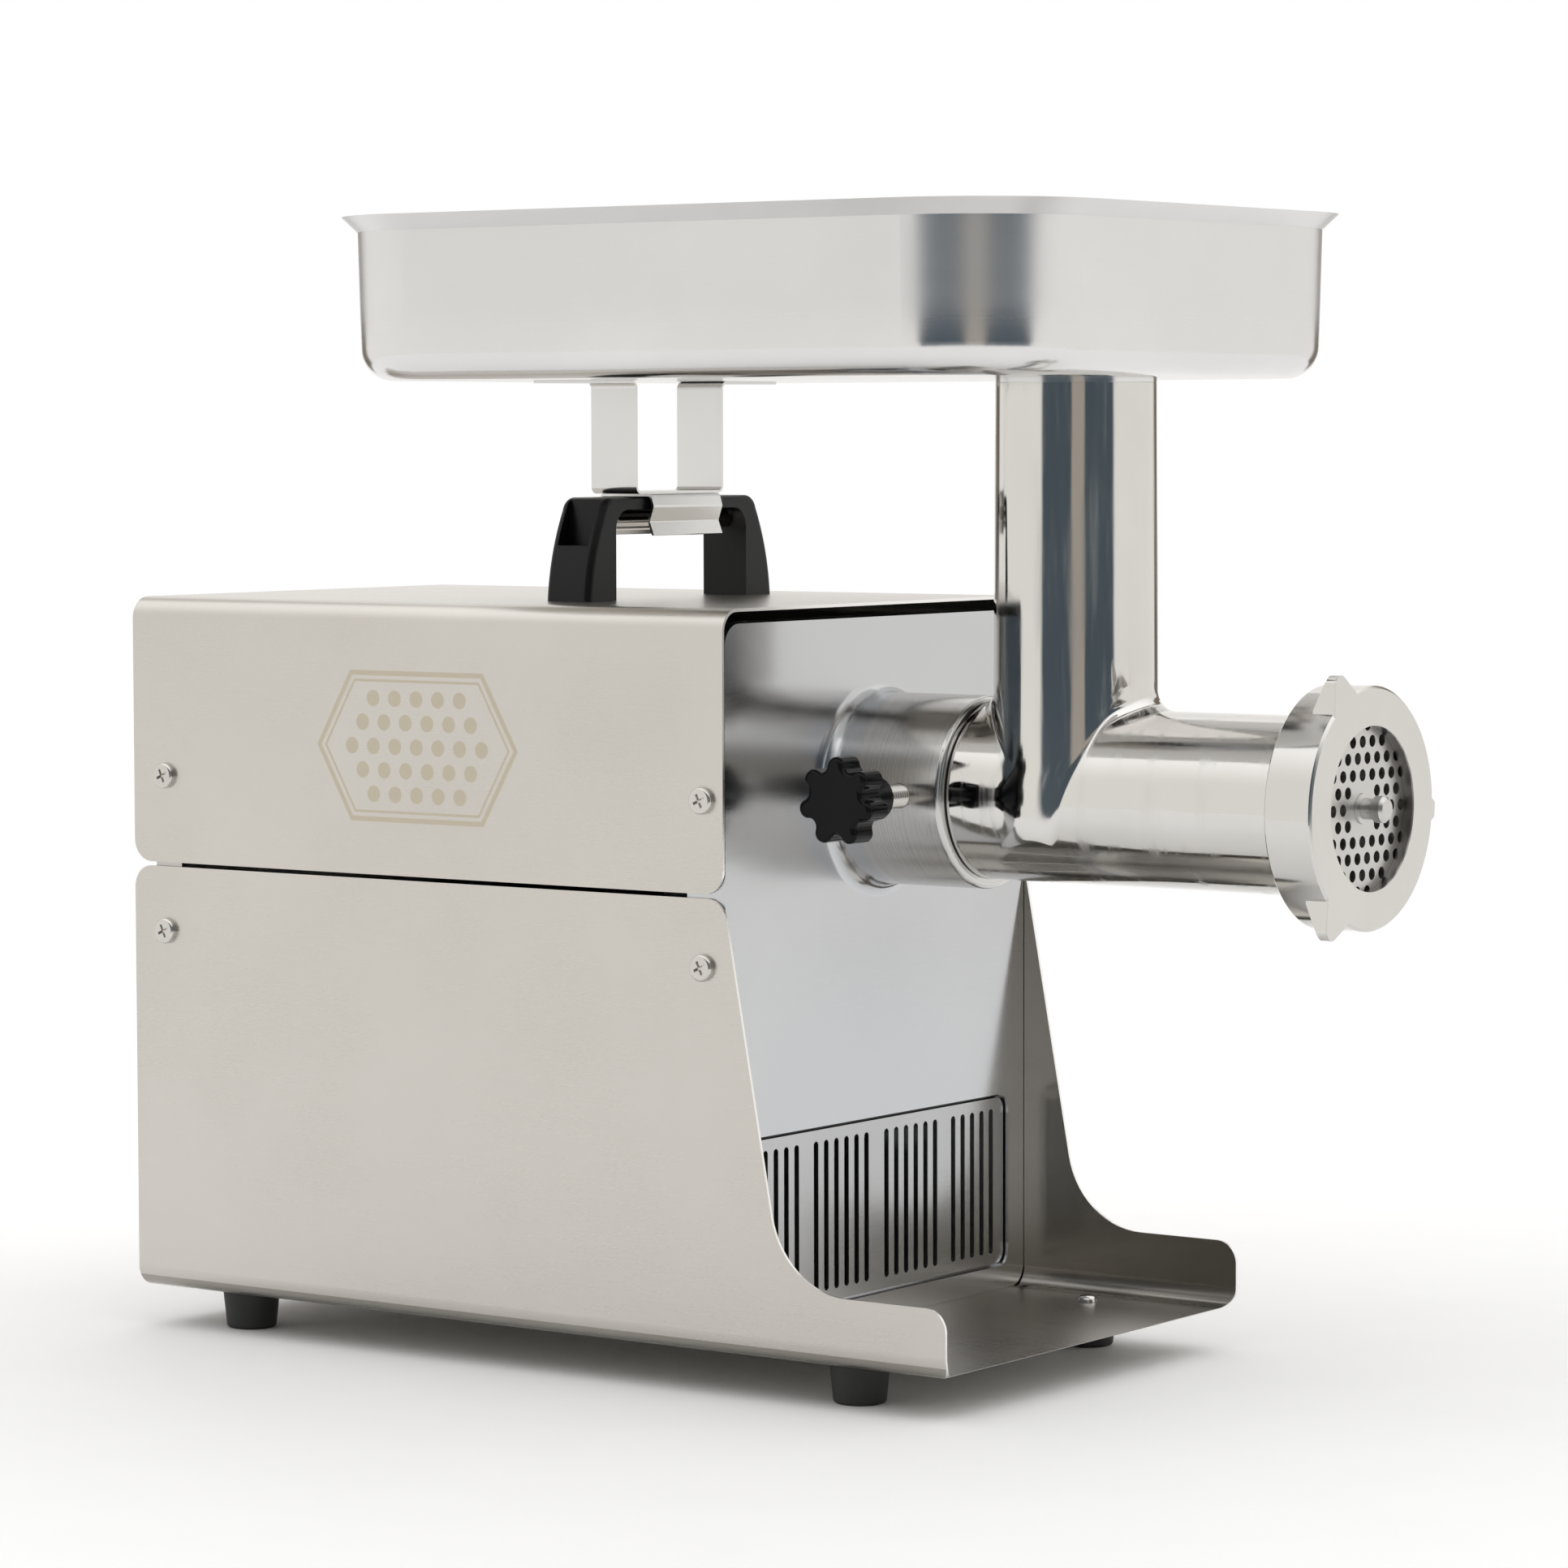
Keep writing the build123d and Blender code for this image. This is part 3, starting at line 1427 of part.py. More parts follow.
def pan_block(inset):
    """Solid form of the pan, drawn in by inset: drafted walls and a rim that leans out."""
    wall_top = pan_low + pan_wall_h
    lean = pan_wall_h * tan(radians(pan_draft))
    with BuildPart(mode=Mode.PRIVATE) as block:
        with BuildSketch(Plane.XY.offset(pan_low + inset)):
            with Locations((0, pan_mid)):
                RectangleRounded(
                    2 * (pan_half_w - lean - inset),
                    pan_len - 2 * (lean + inset),
                    pan_corner_r - lean - inset,
                )
        extrude(amount=pan_wall_h - inset, taper=-pan_draft)
        fillet(block.faces().sort_by(Axis.Z)[0].edges(), radius=pan_floor_r - inset)
        with BuildSketch(Plane.XY.offset(wall_top)):
            with Locations((0, pan_mid)):
                RectangleRounded(2 * (pan_half_w - inset), pan_len - 2 * inset, pan_corner_r - inset)
        with BuildSketch(Plane.XY.offset(wall_top + rim_h)):
            with Locations((0, pan_mid)):
                grow = rim_out - inset
                RectangleRounded(2 * (pan_half_w + grow), pan_len + 2 * grow, pan_corner_r + grow)
        loft()
    return block.part


with BuildPart() as feed_pan:
    add(pan_block(0))
    add(pan_block(pan_sheet), mode=Mode.SUBTRACT)
    with BuildSketch(Plane.XY.offset(pan_low - 1)):
        with Locations((0, tube_y)):
            Circle(throat_out_r + 0.02)
    extrude(amount=pan_sheet + 2, mode=Mode.SUBTRACT)
save(feed_pan, "feed_pan")

with BuildPart() as pan_throat:
    with BuildSketch(Plane.XY.offset(tube_top - throat_drop)):
        with Locations((0, tube_y)):
            Circle(throat_out_r)
    extrude(amount=pan_low + pan_sheet - tube_top + throat_drop)
    with BuildSketch(Plane.XY.offset(tube_top + 0.1)):
        with Locations((0, tube_y)):
            Circle(tube_top_r)
    extrude(amount=pan_low - tube_top - 0.1 - 0.02)
    with BuildSketch(Plane.XY.offset(tube_top - throat_drop - 1)):
        with Locations((0, tube_y)):
            Circle(throat_in_r)
    extrude(amount=throat_drop + 10, mode=Mode.SUBTRACT)
save(pan_throat, "pan_throat")

web_z = bracket_low + 0.02

with BuildPart() as pan_bracket:
    leg_low = web_z + clip_t / 2
    leg_top = pan_low - clip_t / 2 - 0.02
    with BuildSketch(across(bracket_y + bracket_w / 2)):
        with BuildLine():
            FilletPolyline(
                (-bracket_flange, leg_top),
                (-bracket_half, leg_top),
                (-bracket_half, leg_low),
                (bracket_half, leg_low),
                (bracket_half, leg_top),
                (bracket_flange, leg_top),
                radius=2.5,
            )
        trace(line_width=clip_t)
    extrude(amount=bracket_w)
save(pan_bracket, "pan_bracket")

grip_front = handle_y - handle_w / 2 - 0.12
grip_back = handle_y + handle_w / 2 + 0.12

with BuildPart() as pan_clip:
    clip_z = handle_top + 0.2 + clip_t / 2
    with BuildSketch(Plane.YZ.offset(-clip_half)):
        with BuildLine():
            FilletPolyline(
                (grip_front - 2.6, clip_z - 16.0),
                (grip_front - clip_t / 2, clip_z - 10.6),
                (grip_front - 2.6, clip_z - 4.5),
                (grip_front - 1.2, clip_z),
                (grip_back + 1.2, clip_z),
                (grip_back + 2.6, clip_z - 4.5),
                (grip_back + clip_t / 2, clip_z - 10.6),
                (grip_back + 2.6, clip_z - 16.0),
                radius=1.2,
            )
        trace(line_width=clip_t)
    extrude(amount=2 * clip_half)
save(pan_clip, "pan_clip")
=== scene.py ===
# %% [markdown]
# # Electric meat grinder
# The machine's frame comes from its CAD model: every steel sheet, casting, gear and screw is already
# there in metres, standing on the bench at Z = 0 with the outlet towards -Y. This lesson gives each
# visible piece its finish and re-makes the one piece whose curves a CAD mesh shows too coarsely, the clamping
# screw's stud.

import json
import math

import bmesh
import bpy
from mathutils import Matrix, Vector


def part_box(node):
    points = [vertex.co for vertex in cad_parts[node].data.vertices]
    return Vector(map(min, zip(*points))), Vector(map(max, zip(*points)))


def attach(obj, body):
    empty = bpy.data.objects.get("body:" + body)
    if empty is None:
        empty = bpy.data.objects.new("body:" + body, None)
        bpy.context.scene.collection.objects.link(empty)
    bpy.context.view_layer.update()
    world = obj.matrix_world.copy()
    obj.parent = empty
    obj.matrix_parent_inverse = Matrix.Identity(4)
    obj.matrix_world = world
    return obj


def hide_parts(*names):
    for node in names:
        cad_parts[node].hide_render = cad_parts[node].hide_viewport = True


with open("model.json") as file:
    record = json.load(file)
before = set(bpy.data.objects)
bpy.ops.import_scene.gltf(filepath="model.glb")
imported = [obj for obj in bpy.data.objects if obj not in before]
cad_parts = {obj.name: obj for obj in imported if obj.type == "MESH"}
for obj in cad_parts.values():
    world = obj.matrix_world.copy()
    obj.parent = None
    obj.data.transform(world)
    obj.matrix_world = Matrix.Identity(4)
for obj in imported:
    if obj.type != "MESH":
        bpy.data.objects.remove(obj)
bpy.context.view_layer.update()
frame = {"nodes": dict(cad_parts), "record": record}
nodes = frame["nodes"]
print("pieces in the frame:", len(nodes))

# %% [markdown]
# ## Studio
# The machine stands on a pale floor in a white room. Polished metal is only as good as what it
# mirrors, so the room is not even: the side where the onlooker stands is dark, with a paler strip in
# its middle, and the softboxes stand left and right of it. That dark side gives the feed tube its two
# slate bands and the pan's near corner its shadow.

# %% Camera
AZIMUTH, ELEVATION, ROLL = math.radians(-54.1745), math.radians(-3.742), math.radians(-0.145)
LENS = 124.97
EYE = Vector((-1.7548, -1.2562, 0.3688))

forward = Vector(
    (
        -math.sin(AZIMUTH) * math.cos(ELEVATION),
        math.cos(AZIMUTH) * math.cos(ELEVATION),
        math.sin(ELEVATION),
    )
)
level = Vector((math.cos(AZIMUTH), math.sin(AZIMUTH), 0))
upright = level.cross(forward)
right = math.cos(ROLL) * level + math.sin(ROLL) * upright
up = math.cos(ROLL) * upright - math.sin(ROLL) * level

camera = bpy.data.objects.new("camera", bpy.data.cameras.new("camera"))
bpy.context.scene.collection.objects.link(camera)
camera.matrix_world = Matrix(
    (
        (right.x, up.x, -forward.x, EYE.x),
        (right.y, up.y, -forward.y, EYE.y),
        (right.z, up.z, -forward.z, EYE.z),
        (0, 0, 0, 1),
    )
)
camera.data.lens = LENS
camera.data.sensor_width = 36.0
camera.data.clip_end = 100
bpy.context.scene.camera = camera
bpy.context.scene.view_settings.view_transform = "Standard"
print("camera stands", round(EYE.length, 3), "m from the origin")

# %% [markdown]
# ## Shader arithmetic
# A finish is mostly sums: grain plus blotches, more wear near an edge, one minus a mask. Wrapping a
# node socket in a small class lets those sums be written as ordinary Python expressions.

# %% Sockets that do sums


class Wire:
    """The value that runs out of one socket of a material's node tree."""

    def __init__(self, finish, socket):
        self.finish = finish
        self.socket = socket

    def _sum(self, operation, first, second):
        return self.finish.node("Math", {"operation": operation}, {0: first, 1: second})

    def __add__(self, other):
        return self._sum("ADD", self, other)

    __radd__ = __add__

    def __mul__(self, other):
        return self._sum("MULTIPLY", self, other)

    __rmul__ = __mul__

    def __sub__(self, other):
        return self._sum("SUBTRACT", self, other)

    def __rsub__(self, other):
        return self._sum("SUBTRACT", other, self)


class Finish:
    """A node tree being written: a material's or the room's."""

    def __init__(self, tree):
        self.tree = tree
        tree.nodes.clear()

    def node(self, kind, settings=None, inputs=None, out=0):
        """Add a node: its settings first, then values or wires for its sockets."""
        made = self.tree.nodes.new("ShaderNode" + kind)
        for name, value in (settings or {}).items():
            setattr(made, name, value)
        for name, value in (inputs or {}).items():
            self.feed(made.inputs[name], value)
        return Wire(self, made.outputs[out]) if len(made.outputs) else None

    def feed(self, socket, value):
        """Set a socket to a plain value or join it to a wire."""
        if isinstance(value, Wire):
            self.tree.links.new(value.socket, socket)
        else:
            socket.default_value = value

    def place(self, stretch=(1, 1, 1)):
        """Where a point of the surface is, in metres times the stretch along X, Y and Z."""
        here = self.node("TexCoord", out="Object")
        return self.node("VectorMath", {"operation": "MULTIPLY"}, {0: here, 1: stretch})

    def noise(self, where, scale=1.0, detail=2.0, roughness=0.5):
        """Soft random value between 0 and 1."""
        inputs = {"Vector": where, "Scale": scale, "Detail": detail, "Roughness": roughness}
        return self.node("TexNoise", {}, inputs)

    def spread(self, value, low, high):
        """Rise smoothly from 0 at low to 1 at high, held at both ends."""
        inputs = {"Value": value, 1: low, 2: high, 3: 0.0, 4: 1.0}
        return self.node("MapRange", {"clamp": True, "interpolation_type": "SMOOTHSTEP"}, inputs)

    def blend(self, mask, first, second):
        """Colour that goes from first to second as the mask goes from 0 to 1."""
        made = self.tree.nodes.new("ShaderNodeMix")
        made.data_type = "RGBA"
        self.feed(made.inputs["Factor"], mask)
        self.feed(made.inputs[6], first)
        self.feed(made.inputs[7], second)
        return Wire(self, made.outputs[2])


def rgb(red, green, blue):
    """Colour with full opacity."""
    return (red, green, blue, 1.0)


def begin(name):
    """Start a material and give its empty tree."""
    material = bpy.data.materials.new(name)
    material.use_nodes = True
    return material, Finish(material.node_tree)


def close(finish, sockets, bump=None, strength=0.1, depth=0.0002):
    """End a material: one Principled shader, with a bump if there is one."""
    if bump is not None:
        inputs = {"Height": bump, "Strength": strength, "Distance": depth}
        sockets = dict(sockets, Normal=finish.node("Bump", {}, inputs))
    shader = finish.node("BsdfPrincipled", {}, sockets)
    finish.node("OutputMaterial", {}, {"Surface": shader})


# %% The room
DARK_HALF = 52.0  # degrees either side of the onlooker
STRIP_HALF = 9.0
FLAG_AT, FLAG_HALF = 152.0, 10.0


def turn_step(finish, facing, angle, soft):
    """Mask that is 1 inside an angle from the onlooker and 0 outside, with a soft edge in degrees."""
    outside = math.cos(math.radians(angle + soft))
    inside = math.cos(math.radians(angle - soft))
    return finish.spread(facing, outside, inside)


world = bpy.data.worlds.new("studio")
bpy.context.scene.world = world
world.use_nodes = True
room = Finish(world.node_tree)
gaze = room.node("TexCoord", out="Generated")
towards_eye = Vector((EYE.x, EYE.y, 0)).normalized()
flat = room.node("VectorMath", {"operation": "MULTIPLY"}, {0: gaze, 1: (1, 1, 0)})
flat = room.node("VectorMath", {"operation": "NORMALIZE"}, {0: flat})
facing = room.node("VectorMath", {"operation": "DOT_PRODUCT"}, {0: flat, 1: towards_eye}, out="Value")
height = room.node("SeparateXYZ", {}, {0: gaze}, out=2)
low_down = 1 - room.spread(height, 0.42, 0.75)
dark_side = turn_step(room, facing, DARK_HALF, 2.5) * low_down
strip = turn_step(room, facing, STRIP_HALF, 1.5) * low_down
flags = turn_step(room, facing, FLAG_AT + FLAG_HALF, 3) - turn_step(room, facing, FLAG_AT - FLAG_HALF, 3)
ceiling = room.spread(height, 0.35, 0.95)
light = room.blend(ceiling, rgb(1.0, 0.985, 0.96), rgb(1.5, 1.5, 1.5))
light = room.blend(flags * (1 - ceiling), light, rgb(0.20, 0.17, 0.14))
light = room.blend(dark_side, light, rgb(0.085, 0.112, 0.135))
light = room.blend(strip, light, rgb(0.46, 0.42, 0.37))
glow = room.node("Background", {}, {"Color": light, "Strength": 1.0})
plain = room.node("Background", {}, {"Color": rgb(1.0, 1.0, 1.0), "Strength": 1.0})
seen = room.node("LightPath", out="Is Camera Ray")
both = room.node("MixShader", {}, {0: seen, 1: glow, 2: plain})
room.node("OutputWorld", {}, {"Surface": both})

# %% Floor
FLOOR_R = 1.5  # the table ends before the dark side of the room begins
floor_mesh = bpy.data.meshes.new("floor")
built = bmesh.new()
bmesh.ops.create_circle(built, cap_ends=True, segments=96, radius=FLOOR_R)
built.to_mesh(floor_mesh)
floor = bpy.data.objects.new("floor", floor_mesh)
bpy.context.scene.collection.objects.link(floor)
material, finish = begin("pale_floor")
grain = finish.noise(finish.place(), 18.0, 3.0)
tone = finish.blend(grain, rgb(0.90, 0.90, 0.90), rgb(0.93, 0.93, 0.93))
close(finish, {"Base Color": tone, "Roughness": 0.8}, grain, 0.05)
floor_mesh.materials.append(material)


# %% [markdown]
# ## Steel and aluminium
# The body is brushed stainless: long fine scratches along the machine's length with faint mottling.
# Scratches are noise squeezed across their run, so one stretched noise makes the grain, the same
# noise nudges roughness and bump, and a slow noise adds the mottling.

# %% Brushed sheet


def brushed(name, colour, darker, run, rough, mottle=0.04, bump=0.15):
    """Brushed sheet: run is the stretch of the scratches along X, Y and Z."""
    material, finish = begin(name)
    scratch = finish.noise(finish.place(run), 1.0, 3.0, 0.65)
    cloud = finish.noise(finish.place(), 14.0, 3.0, 0.55)
    tone = finish.blend(finish.spread(cloud, 0.3, 0.7) * 0.6 + scratch * 0.4, darker, colour)
    gloss = scratch * 0.10 + cloud * mottle + (rough - 0.06)
    close(finish, {"Base Color": tone, "Metallic": 1.0, "Roughness": gloss}, scratch, bump, 0.00004)
    return material


ALONG = (1500, 25, 1500)
ACROSS = (25, 1500, 1500)
UPRIGHT = (1500, 1500, 25)
ROUND_ABOUT = (30, 30, 1600)

panel_steel = brushed("panel_steel", rgb(0.60, 0.58, 0.55), rgb(0.56, 0.54, 0.51), ACROSS, 0.33)
strip_steel = brushed(
    "strip_steel", rgb(0.72, 0.715, 0.70), rgb(0.66, 0.655, 0.64), UPRIGHT, 0.20, 0.05, 0.03
)
grille_steel = brushed(
    "grille_steel", rgb(0.52, 0.525, 0.53), rgb(0.47, 0.475, 0.48), ACROSS, 0.24, 0.04, 0.03
)

# %% [markdown]
# ## Cover and tray
# Both are folded from brushed stainless. Outside they are pale and even; inside the tray a darker tone is
# painted shade, and the cut edges carry a painted highlight. The cover's left flank has an etched emblem, a
# long hexagon with the holes of a mincing plate, drawn as masks so that it stays sharp from any distance.

# %% Etched emblem
cover_low, cover_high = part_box("upper_cover")
EMBLEM_Y = (cover_low.y + cover_high.y) / 2
EMBLEM_Z = (cover_low.z + cover_high.z) / 2 - 0.003
EMBLEM_HALF_W, EMBLEM_HALF_H = 0.050, 0.029
DOT_PITCH, DOT_ROW, DOT_R = 0.0110, 0.0095, 0.0033


def parts_of(finish):
    """The x, y and z of the surface's point."""
    here = finish.node("TexCoord", out="Object")
    return [finish.node("SeparateXYZ", {}, {0: here}, out=axis) for axis in range(3)]


def combine(finish, x, y, z):
    """Vector from three values or wires."""
    return finish.node("CombineXYZ", {}, {0: x, 1: y, 2: z})


def length(finish, vector):
    """Length of a vector."""
    return finish.node("VectorMath", {"operation": "LENGTH"}, {0: vector}, out="Value")


def size_of(finish, value):
    """Value without its sign."""
    return finish.node("Math", {"operation": "ABSOLUTE"}, {0: value})


def line_at(finish, distance, place, half):
    """Mask of a line where the distance equals place."""
    return 1 - finish.spread(size_of(finish, distance - place), half * 0.7, half * 1.3)


def dots_in_row(finish, across, up, row, shift, count):
    """Row of round dots; shift moves it by half a pitch."""
    along = across + (shift * DOT_PITCH + 40 * DOT_PITCH + DOT_PITCH / 2)
    within = finish.node("Math", {"operation": "MODULO"}, {0: along, 1: DOT_PITCH}) - DOT_PITCH / 2
    reach = length(finish, combine(finish, within, up - row * DOT_ROW, 0.0))
    inside = 1 - finish.spread(size_of(finish, across), (count / 2 - 0.02) * DOT_PITCH, count / 2 * DOT_PITCH)
    return (1 - finish.spread(reach, DOT_R * 0.93, DOT_R * 1.05)) * inside


def emblem(finish):
    """Mask of the etched emblem on the cover's left flank."""
    x, y, z = parts_of(finish)
    across, up = y - EMBLEM_Y, z - EMBLEM_Z
    slant = (size_of(finish, across) - EMBLEM_HALF_W) * 0.866 + size_of(finish, up) * 0.5
    edge = finish.node("Math", {"operation": "MAXIMUM"}, {0: slant, 1: size_of(finish, up) - EMBLEM_HALF_H})
    lines = line_at(finish, edge, 0.0, 0.0010) + line_at(finish, edge, -0.0030, 0.0005)
    rows = dots_in_row(finish, across, up, 0, 0.0, 7)
    for row, shift, count in ((1, 0.5, 6), (-1, 0.5, 6), (2, 0.0, 5), (-2, 0.0, 5)):
        rows = rows + dots_in_row(finish, across, up, row, shift, count)
    return (lines + rows) * (1 - finish.spread(x, -0.05, -0.04))


# %% Folded sheets
INSIDE_X = 0.1034
INSIDE_Z = 0.0176


def folded(name, marked):
    """Finish of a folded sheet: pale outside, painted shade inside unless marked, a painted highlight on the
    cut edges; marked adds the emblem.
    """
    material, finish = begin(name)
    scratch = finish.noise(finish.place(ALONG), 1.0, 3.0, 0.65)
    cloud = finish.noise(finish.place(), 11.0, 3.0, 0.55)
    smudge = finish.noise(finish.place((30, 6, 12)), 1.0, 4.0, 0.6)
    x, y, z = parts_of(finish)
    # Mask of the tray's inner faces, which take a painted shade.
    inside = (1 - finish.spread(size_of(finish, x), INSIDE_X - 0.0002, INSIDE_X)) * finish.spread(
        z, INSIDE_Z - 0.0002, INSIDE_Z
    )
    if marked:
        inside = inside * 0.0
    mottle = finish.spread(cloud, 0.3, 0.7) * 0.5 + finish.spread(smudge, 0.3, 0.7) * 0.3 + scratch * 0.2
    tone = finish.blend(mottle, rgb(0.575, 0.545, 0.505), rgb(0.625, 0.60, 0.56))
    # Painted shade: the inside of the tray takes a darker tone.
    tone = finish.blend(inside, tone, finish.blend(mottle, rgb(0.30, 0.28, 0.25), rgb(0.40, 0.38, 0.345)))
    gloss = scratch * 0.08 + cloud * 0.05 + 0.22 - inside * 0.08
    # Painted highlight: faces turned forward or back, the sheet's cut edges, are painted pale.
    facing_y = finish.node("SeparateXYZ", {}, {0: finish.node("NewGeometry", out="Normal")}, out=1)
    edge_highlight = finish.spread(size_of(finish, facing_y), 0.25, 0.40)
    tone = finish.blend(edge_highlight, tone, rgb(0.86, 0.85, 0.83))
    if marked:
        etched = emblem(finish)
        tone = finish.blend(etched * 0.8, tone, rgb(0.56, 0.50, 0.38))
        gloss = gloss + etched * 0.2
    close(finish, {"Base Color": tone, "Metallic": 1.0, "Roughness": gloss}, scratch, 0.10, 0.00003)
    return material


cover_sheet = folded("cover_sheet", True)
tray_sheet = folded("tray_sheet", False)

# %% Pan
pan_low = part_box("feed_pan")[0]
pan_steel, finish = begin("pan_steel")
scratch = finish.noise(finish.place(ROUND_ABOUT), 1.0, 3.0, 0.6)
cloud = finish.noise(finish.place(), 12.0, 3.0, 0.55)
x, y, z = parts_of(finish)
upper = finish.spread(z, pan_low.z + 0.006, pan_low.z + 0.030)
mottle = finish.spread(cloud, 0.3, 0.7) * 0.6 + scratch * 0.4
tone = finish.blend(mottle, rgb(0.68, 0.675, 0.67), rgb(0.74, 0.735, 0.73))
gloss = upper * 0.18 + scratch * 0.05 + cloud * 0.03 + 0.11
close(finish, {"Base Color": tone, "Metallic": 1.0, "Roughness": gloss}, scratch, 0.08, 0.00003)


# %% Polished metal


def polished(name, colour, darker, rough, cloud_scale=22.0, swirl=0.03):
    """Metal buffed bright: slow clouds in its gloss and a whisper of polishing marks."""
    material, finish = begin(name)
    cloud = finish.noise(finish.place(), cloud_scale, 3.0, 0.5)
    marks = finish.noise(finish.place((700, 90, 700)), 1.0, 2.0, 0.6)
    tone = finish.blend(cloud, darker, colour)
    gloss = cloud * swirl + marks * 0.03 + (rough - 0.03)
    close(finish, {"Base Color": tone, "Metallic": 1.0, "Roughness": gloss}, marks + cloud, 0.08, 0.00003)
    return material


screw_steel = polished("screw_steel", rgb(0.66, 0.64, 0.61), rgb(0.56, 0.54, 0.51), 0.18)
shaft_steel = polished("shaft_steel", rgb(0.60, 0.60, 0.60), rgb(0.52, 0.52, 0.52), 0.22)
gear_steel = polished("gear_steel", rgb(0.34, 0.33, 0.32), rgb(0.26, 0.25, 0.24), 0.30)
plate_steel = brushed("plate_steel", rgb(0.62, 0.61, 0.59), rgb(0.55, 0.54, 0.52), ACROSS, 0.30)
alloy = brushed("sand_cast_alloy", rgb(0.55, 0.56, 0.57), rgb(0.48, 0.49, 0.50), (300, 300, 300), 0.5)
bronze = polished("bronze", rgb(0.72, 0.50, 0.26), rgb(0.60, 0.41, 0.20), 0.28)
copper = polished("copper_wire", rgb(0.74, 0.36, 0.18), rgb(0.60, 0.28, 0.13), 0.25)

# %% [markdown]
# ## The mincing head
# The head is one stainless casting, an elbow of two pipes polished to a mirror. Its mesh has a plain
# fillet where the pipes meet. A wider, softer join could be modelled, but here it is only a shading
# choice: the finish turns the normal from the tube's to the barrel's across a slanting line, which
# changes what the join mirrors and not its shape. That line's slope and place were chosen as
# offsets from the axes of tube and barrel. A slow ripple then bends the reflections a little.

# %% Mirror finish of the head
plate_low, plate_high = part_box("grinding_plate")
AXIS_Z = (plate_low.z + plate_high.z) / 2
throat = next(m for m in frame["record"]["mounts"] if m["name"] == "feed_throat")
TUBE_Y = throat["pos_m"][1]
BARREL_R = 0.0336
TUBE_R = 0.0315
BLEND = 0.007
CREASE_SLOPE, CREASE_Y, CREASE_DROP = 2.65, 0.0139, 0.0014
print("the feed tube stands at y", TUBE_Y, "over a barrel at z", AXIS_Z)


def scaled(finish, vector, factor):
    """Vector times a value."""
    return finish.node("VectorMath", {"operation": "SCALE"}, {0: vector, "Scale": factor})


def summed(finish, first, second):
    """Sum of two vectors."""
    return finish.node("VectorMath", {"operation": "ADD"}, {0: first, 1: second})


def elbow_normal(finish):
    """Shading normal at the join: the tube's above the slanting line, the barrel's below it."""
    x, y, z = parts_of(finish)
    ahead, rise = y - TUBE_Y, z - AXIS_Z
    spoke_tube = combine(finish, x, ahead, 0.0)
    spoke_barrel = combine(finish, x, 0.0, rise)
    off_tube = length(finish, spoke_tube) - TUBE_R
    off_barrel = length(finish, spoke_barrel) - BARREL_R
    crease = rise + CREASE_DROP + CREASE_SLOPE * (ahead + CREASE_Y)
    neck = finish.spread(ahead, 0.006, 0.016) * finish.spread(off_tube, 0.0003, 0.0012)
    share = finish.spread(crease, -BLEND, BLEND) * finish.spread(rise, -0.026, 0.002) * (1 - neck)
    clear_of_barrel = finish.spread(off_barrel, 0.0015, 0.0060)
    share = share + (1 - share) * clear_of_barrel * (1 - neck)
    tube_part = scaled(finish, finish.node("VectorMath", {"operation": "NORMALIZE"}, {0: spoke_tube}), share)
    barrel_part = scaled(
        finish, finish.node("VectorMath", {"operation": "NORMALIZE"}, {0: spoke_barrel}), 1 - share
    )
    nearest = finish.node("Math", {"operation": "MINIMUM"}, {0: off_tube, 1: off_barrel})
    skin = finish.spread(nearest, -0.0022, -0.0012) * (1 - finish.spread(nearest, 0.0012, 0.0030))
    zone = skin * (1 - finish.spread(rise, 0.034, 0.046)) * finish.spread(ahead, -0.080, -0.065)
    own = finish.node("NewGeometry", out="Normal")
    mixed = scaled(finish, summed(finish, tube_part, barrel_part), zone)
    bent = summed(finish, mixed, scaled(finish, own, 1 - zone))
    return finish.node("VectorMath", {"operation": "NORMALIZE"}, {0: bent})


head_steel, finish = begin("mirror_head")
cloud = finish.noise(finish.place(), 26.0, 3.0, 0.5)
ripple = finish.noise(finish.place((38, 38, 16)), 1.0, 2.0, 0.45)
marks = finish.noise(finish.place((900, 900, 60)), 1.0, 2.0, 0.6)
tone = finish.blend(cloud, rgb(0.62, 0.605, 0.58), rgb(0.70, 0.685, 0.66))
x, y, z = parts_of(finish)
collar_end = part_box("front_casting")[0].y
# Painted shade: the head turns black just ahead of the collar, a dark seam where it enters.
tone = finish.blend(finish.spread(y, collar_end - 0.0008, collar_end - 0.0005), tone, rgb(0.03, 0.03, 0.03))
haze = finish.noise(finish.place((130, 130, 8)), 1.0, 3.0, 0.6)
gloss = finish.spread(cloud, 0.35, 0.75) * 0.05 + finish.spread(haze, 0.48, 0.75) * 0.20 + marks * 0.04 + 0.04
buffed = finish.node(
    "Bump", {}, {"Height": ripple, "Strength": 0.25, "Distance": 0.0006, "Normal": elbow_normal(finish)}
)
fine = finish.node("Bump", {}, {"Height": marks, "Strength": 0.08, "Distance": 0.00003, "Normal": buffed})
close(finish, {"Base Color": tone, "Metallic": 1.0, "Roughness": gloss, "Normal": fine})

# %% [markdown]
# ## Ring nut and casting
# The ring nut is turned: its front face and the wall of its mouth keep the lathe's fine rings while
# its flank is buffed. The casting is buffed on its face, and its collar is left with turning marks.
# Three dark lines are painted shade in these finishes and are not gaps in the mesh: the one round the
# grille's window, the seam where the head enters the collar, and the wall of the ring nut's mouth.

# %% Turned and buffed faces
ring_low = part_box("ring_nut")[0]
FACE_DEPTH = 0.0009
MOUTH_R = 0.0312


def turned_marks(finish, count=2400.0):
    """Fine rings about the barrel line: they change with radius and with y."""
    x, y, z = parts_of(finish)
    radius = length(finish, combine(finish, x, 0.0, z - AXIS_Z))
    rings = finish.noise(combine(finish, radius * count, y * count, 0.0), 1.0, 2.0, 0.7)
    return radius, y, rings


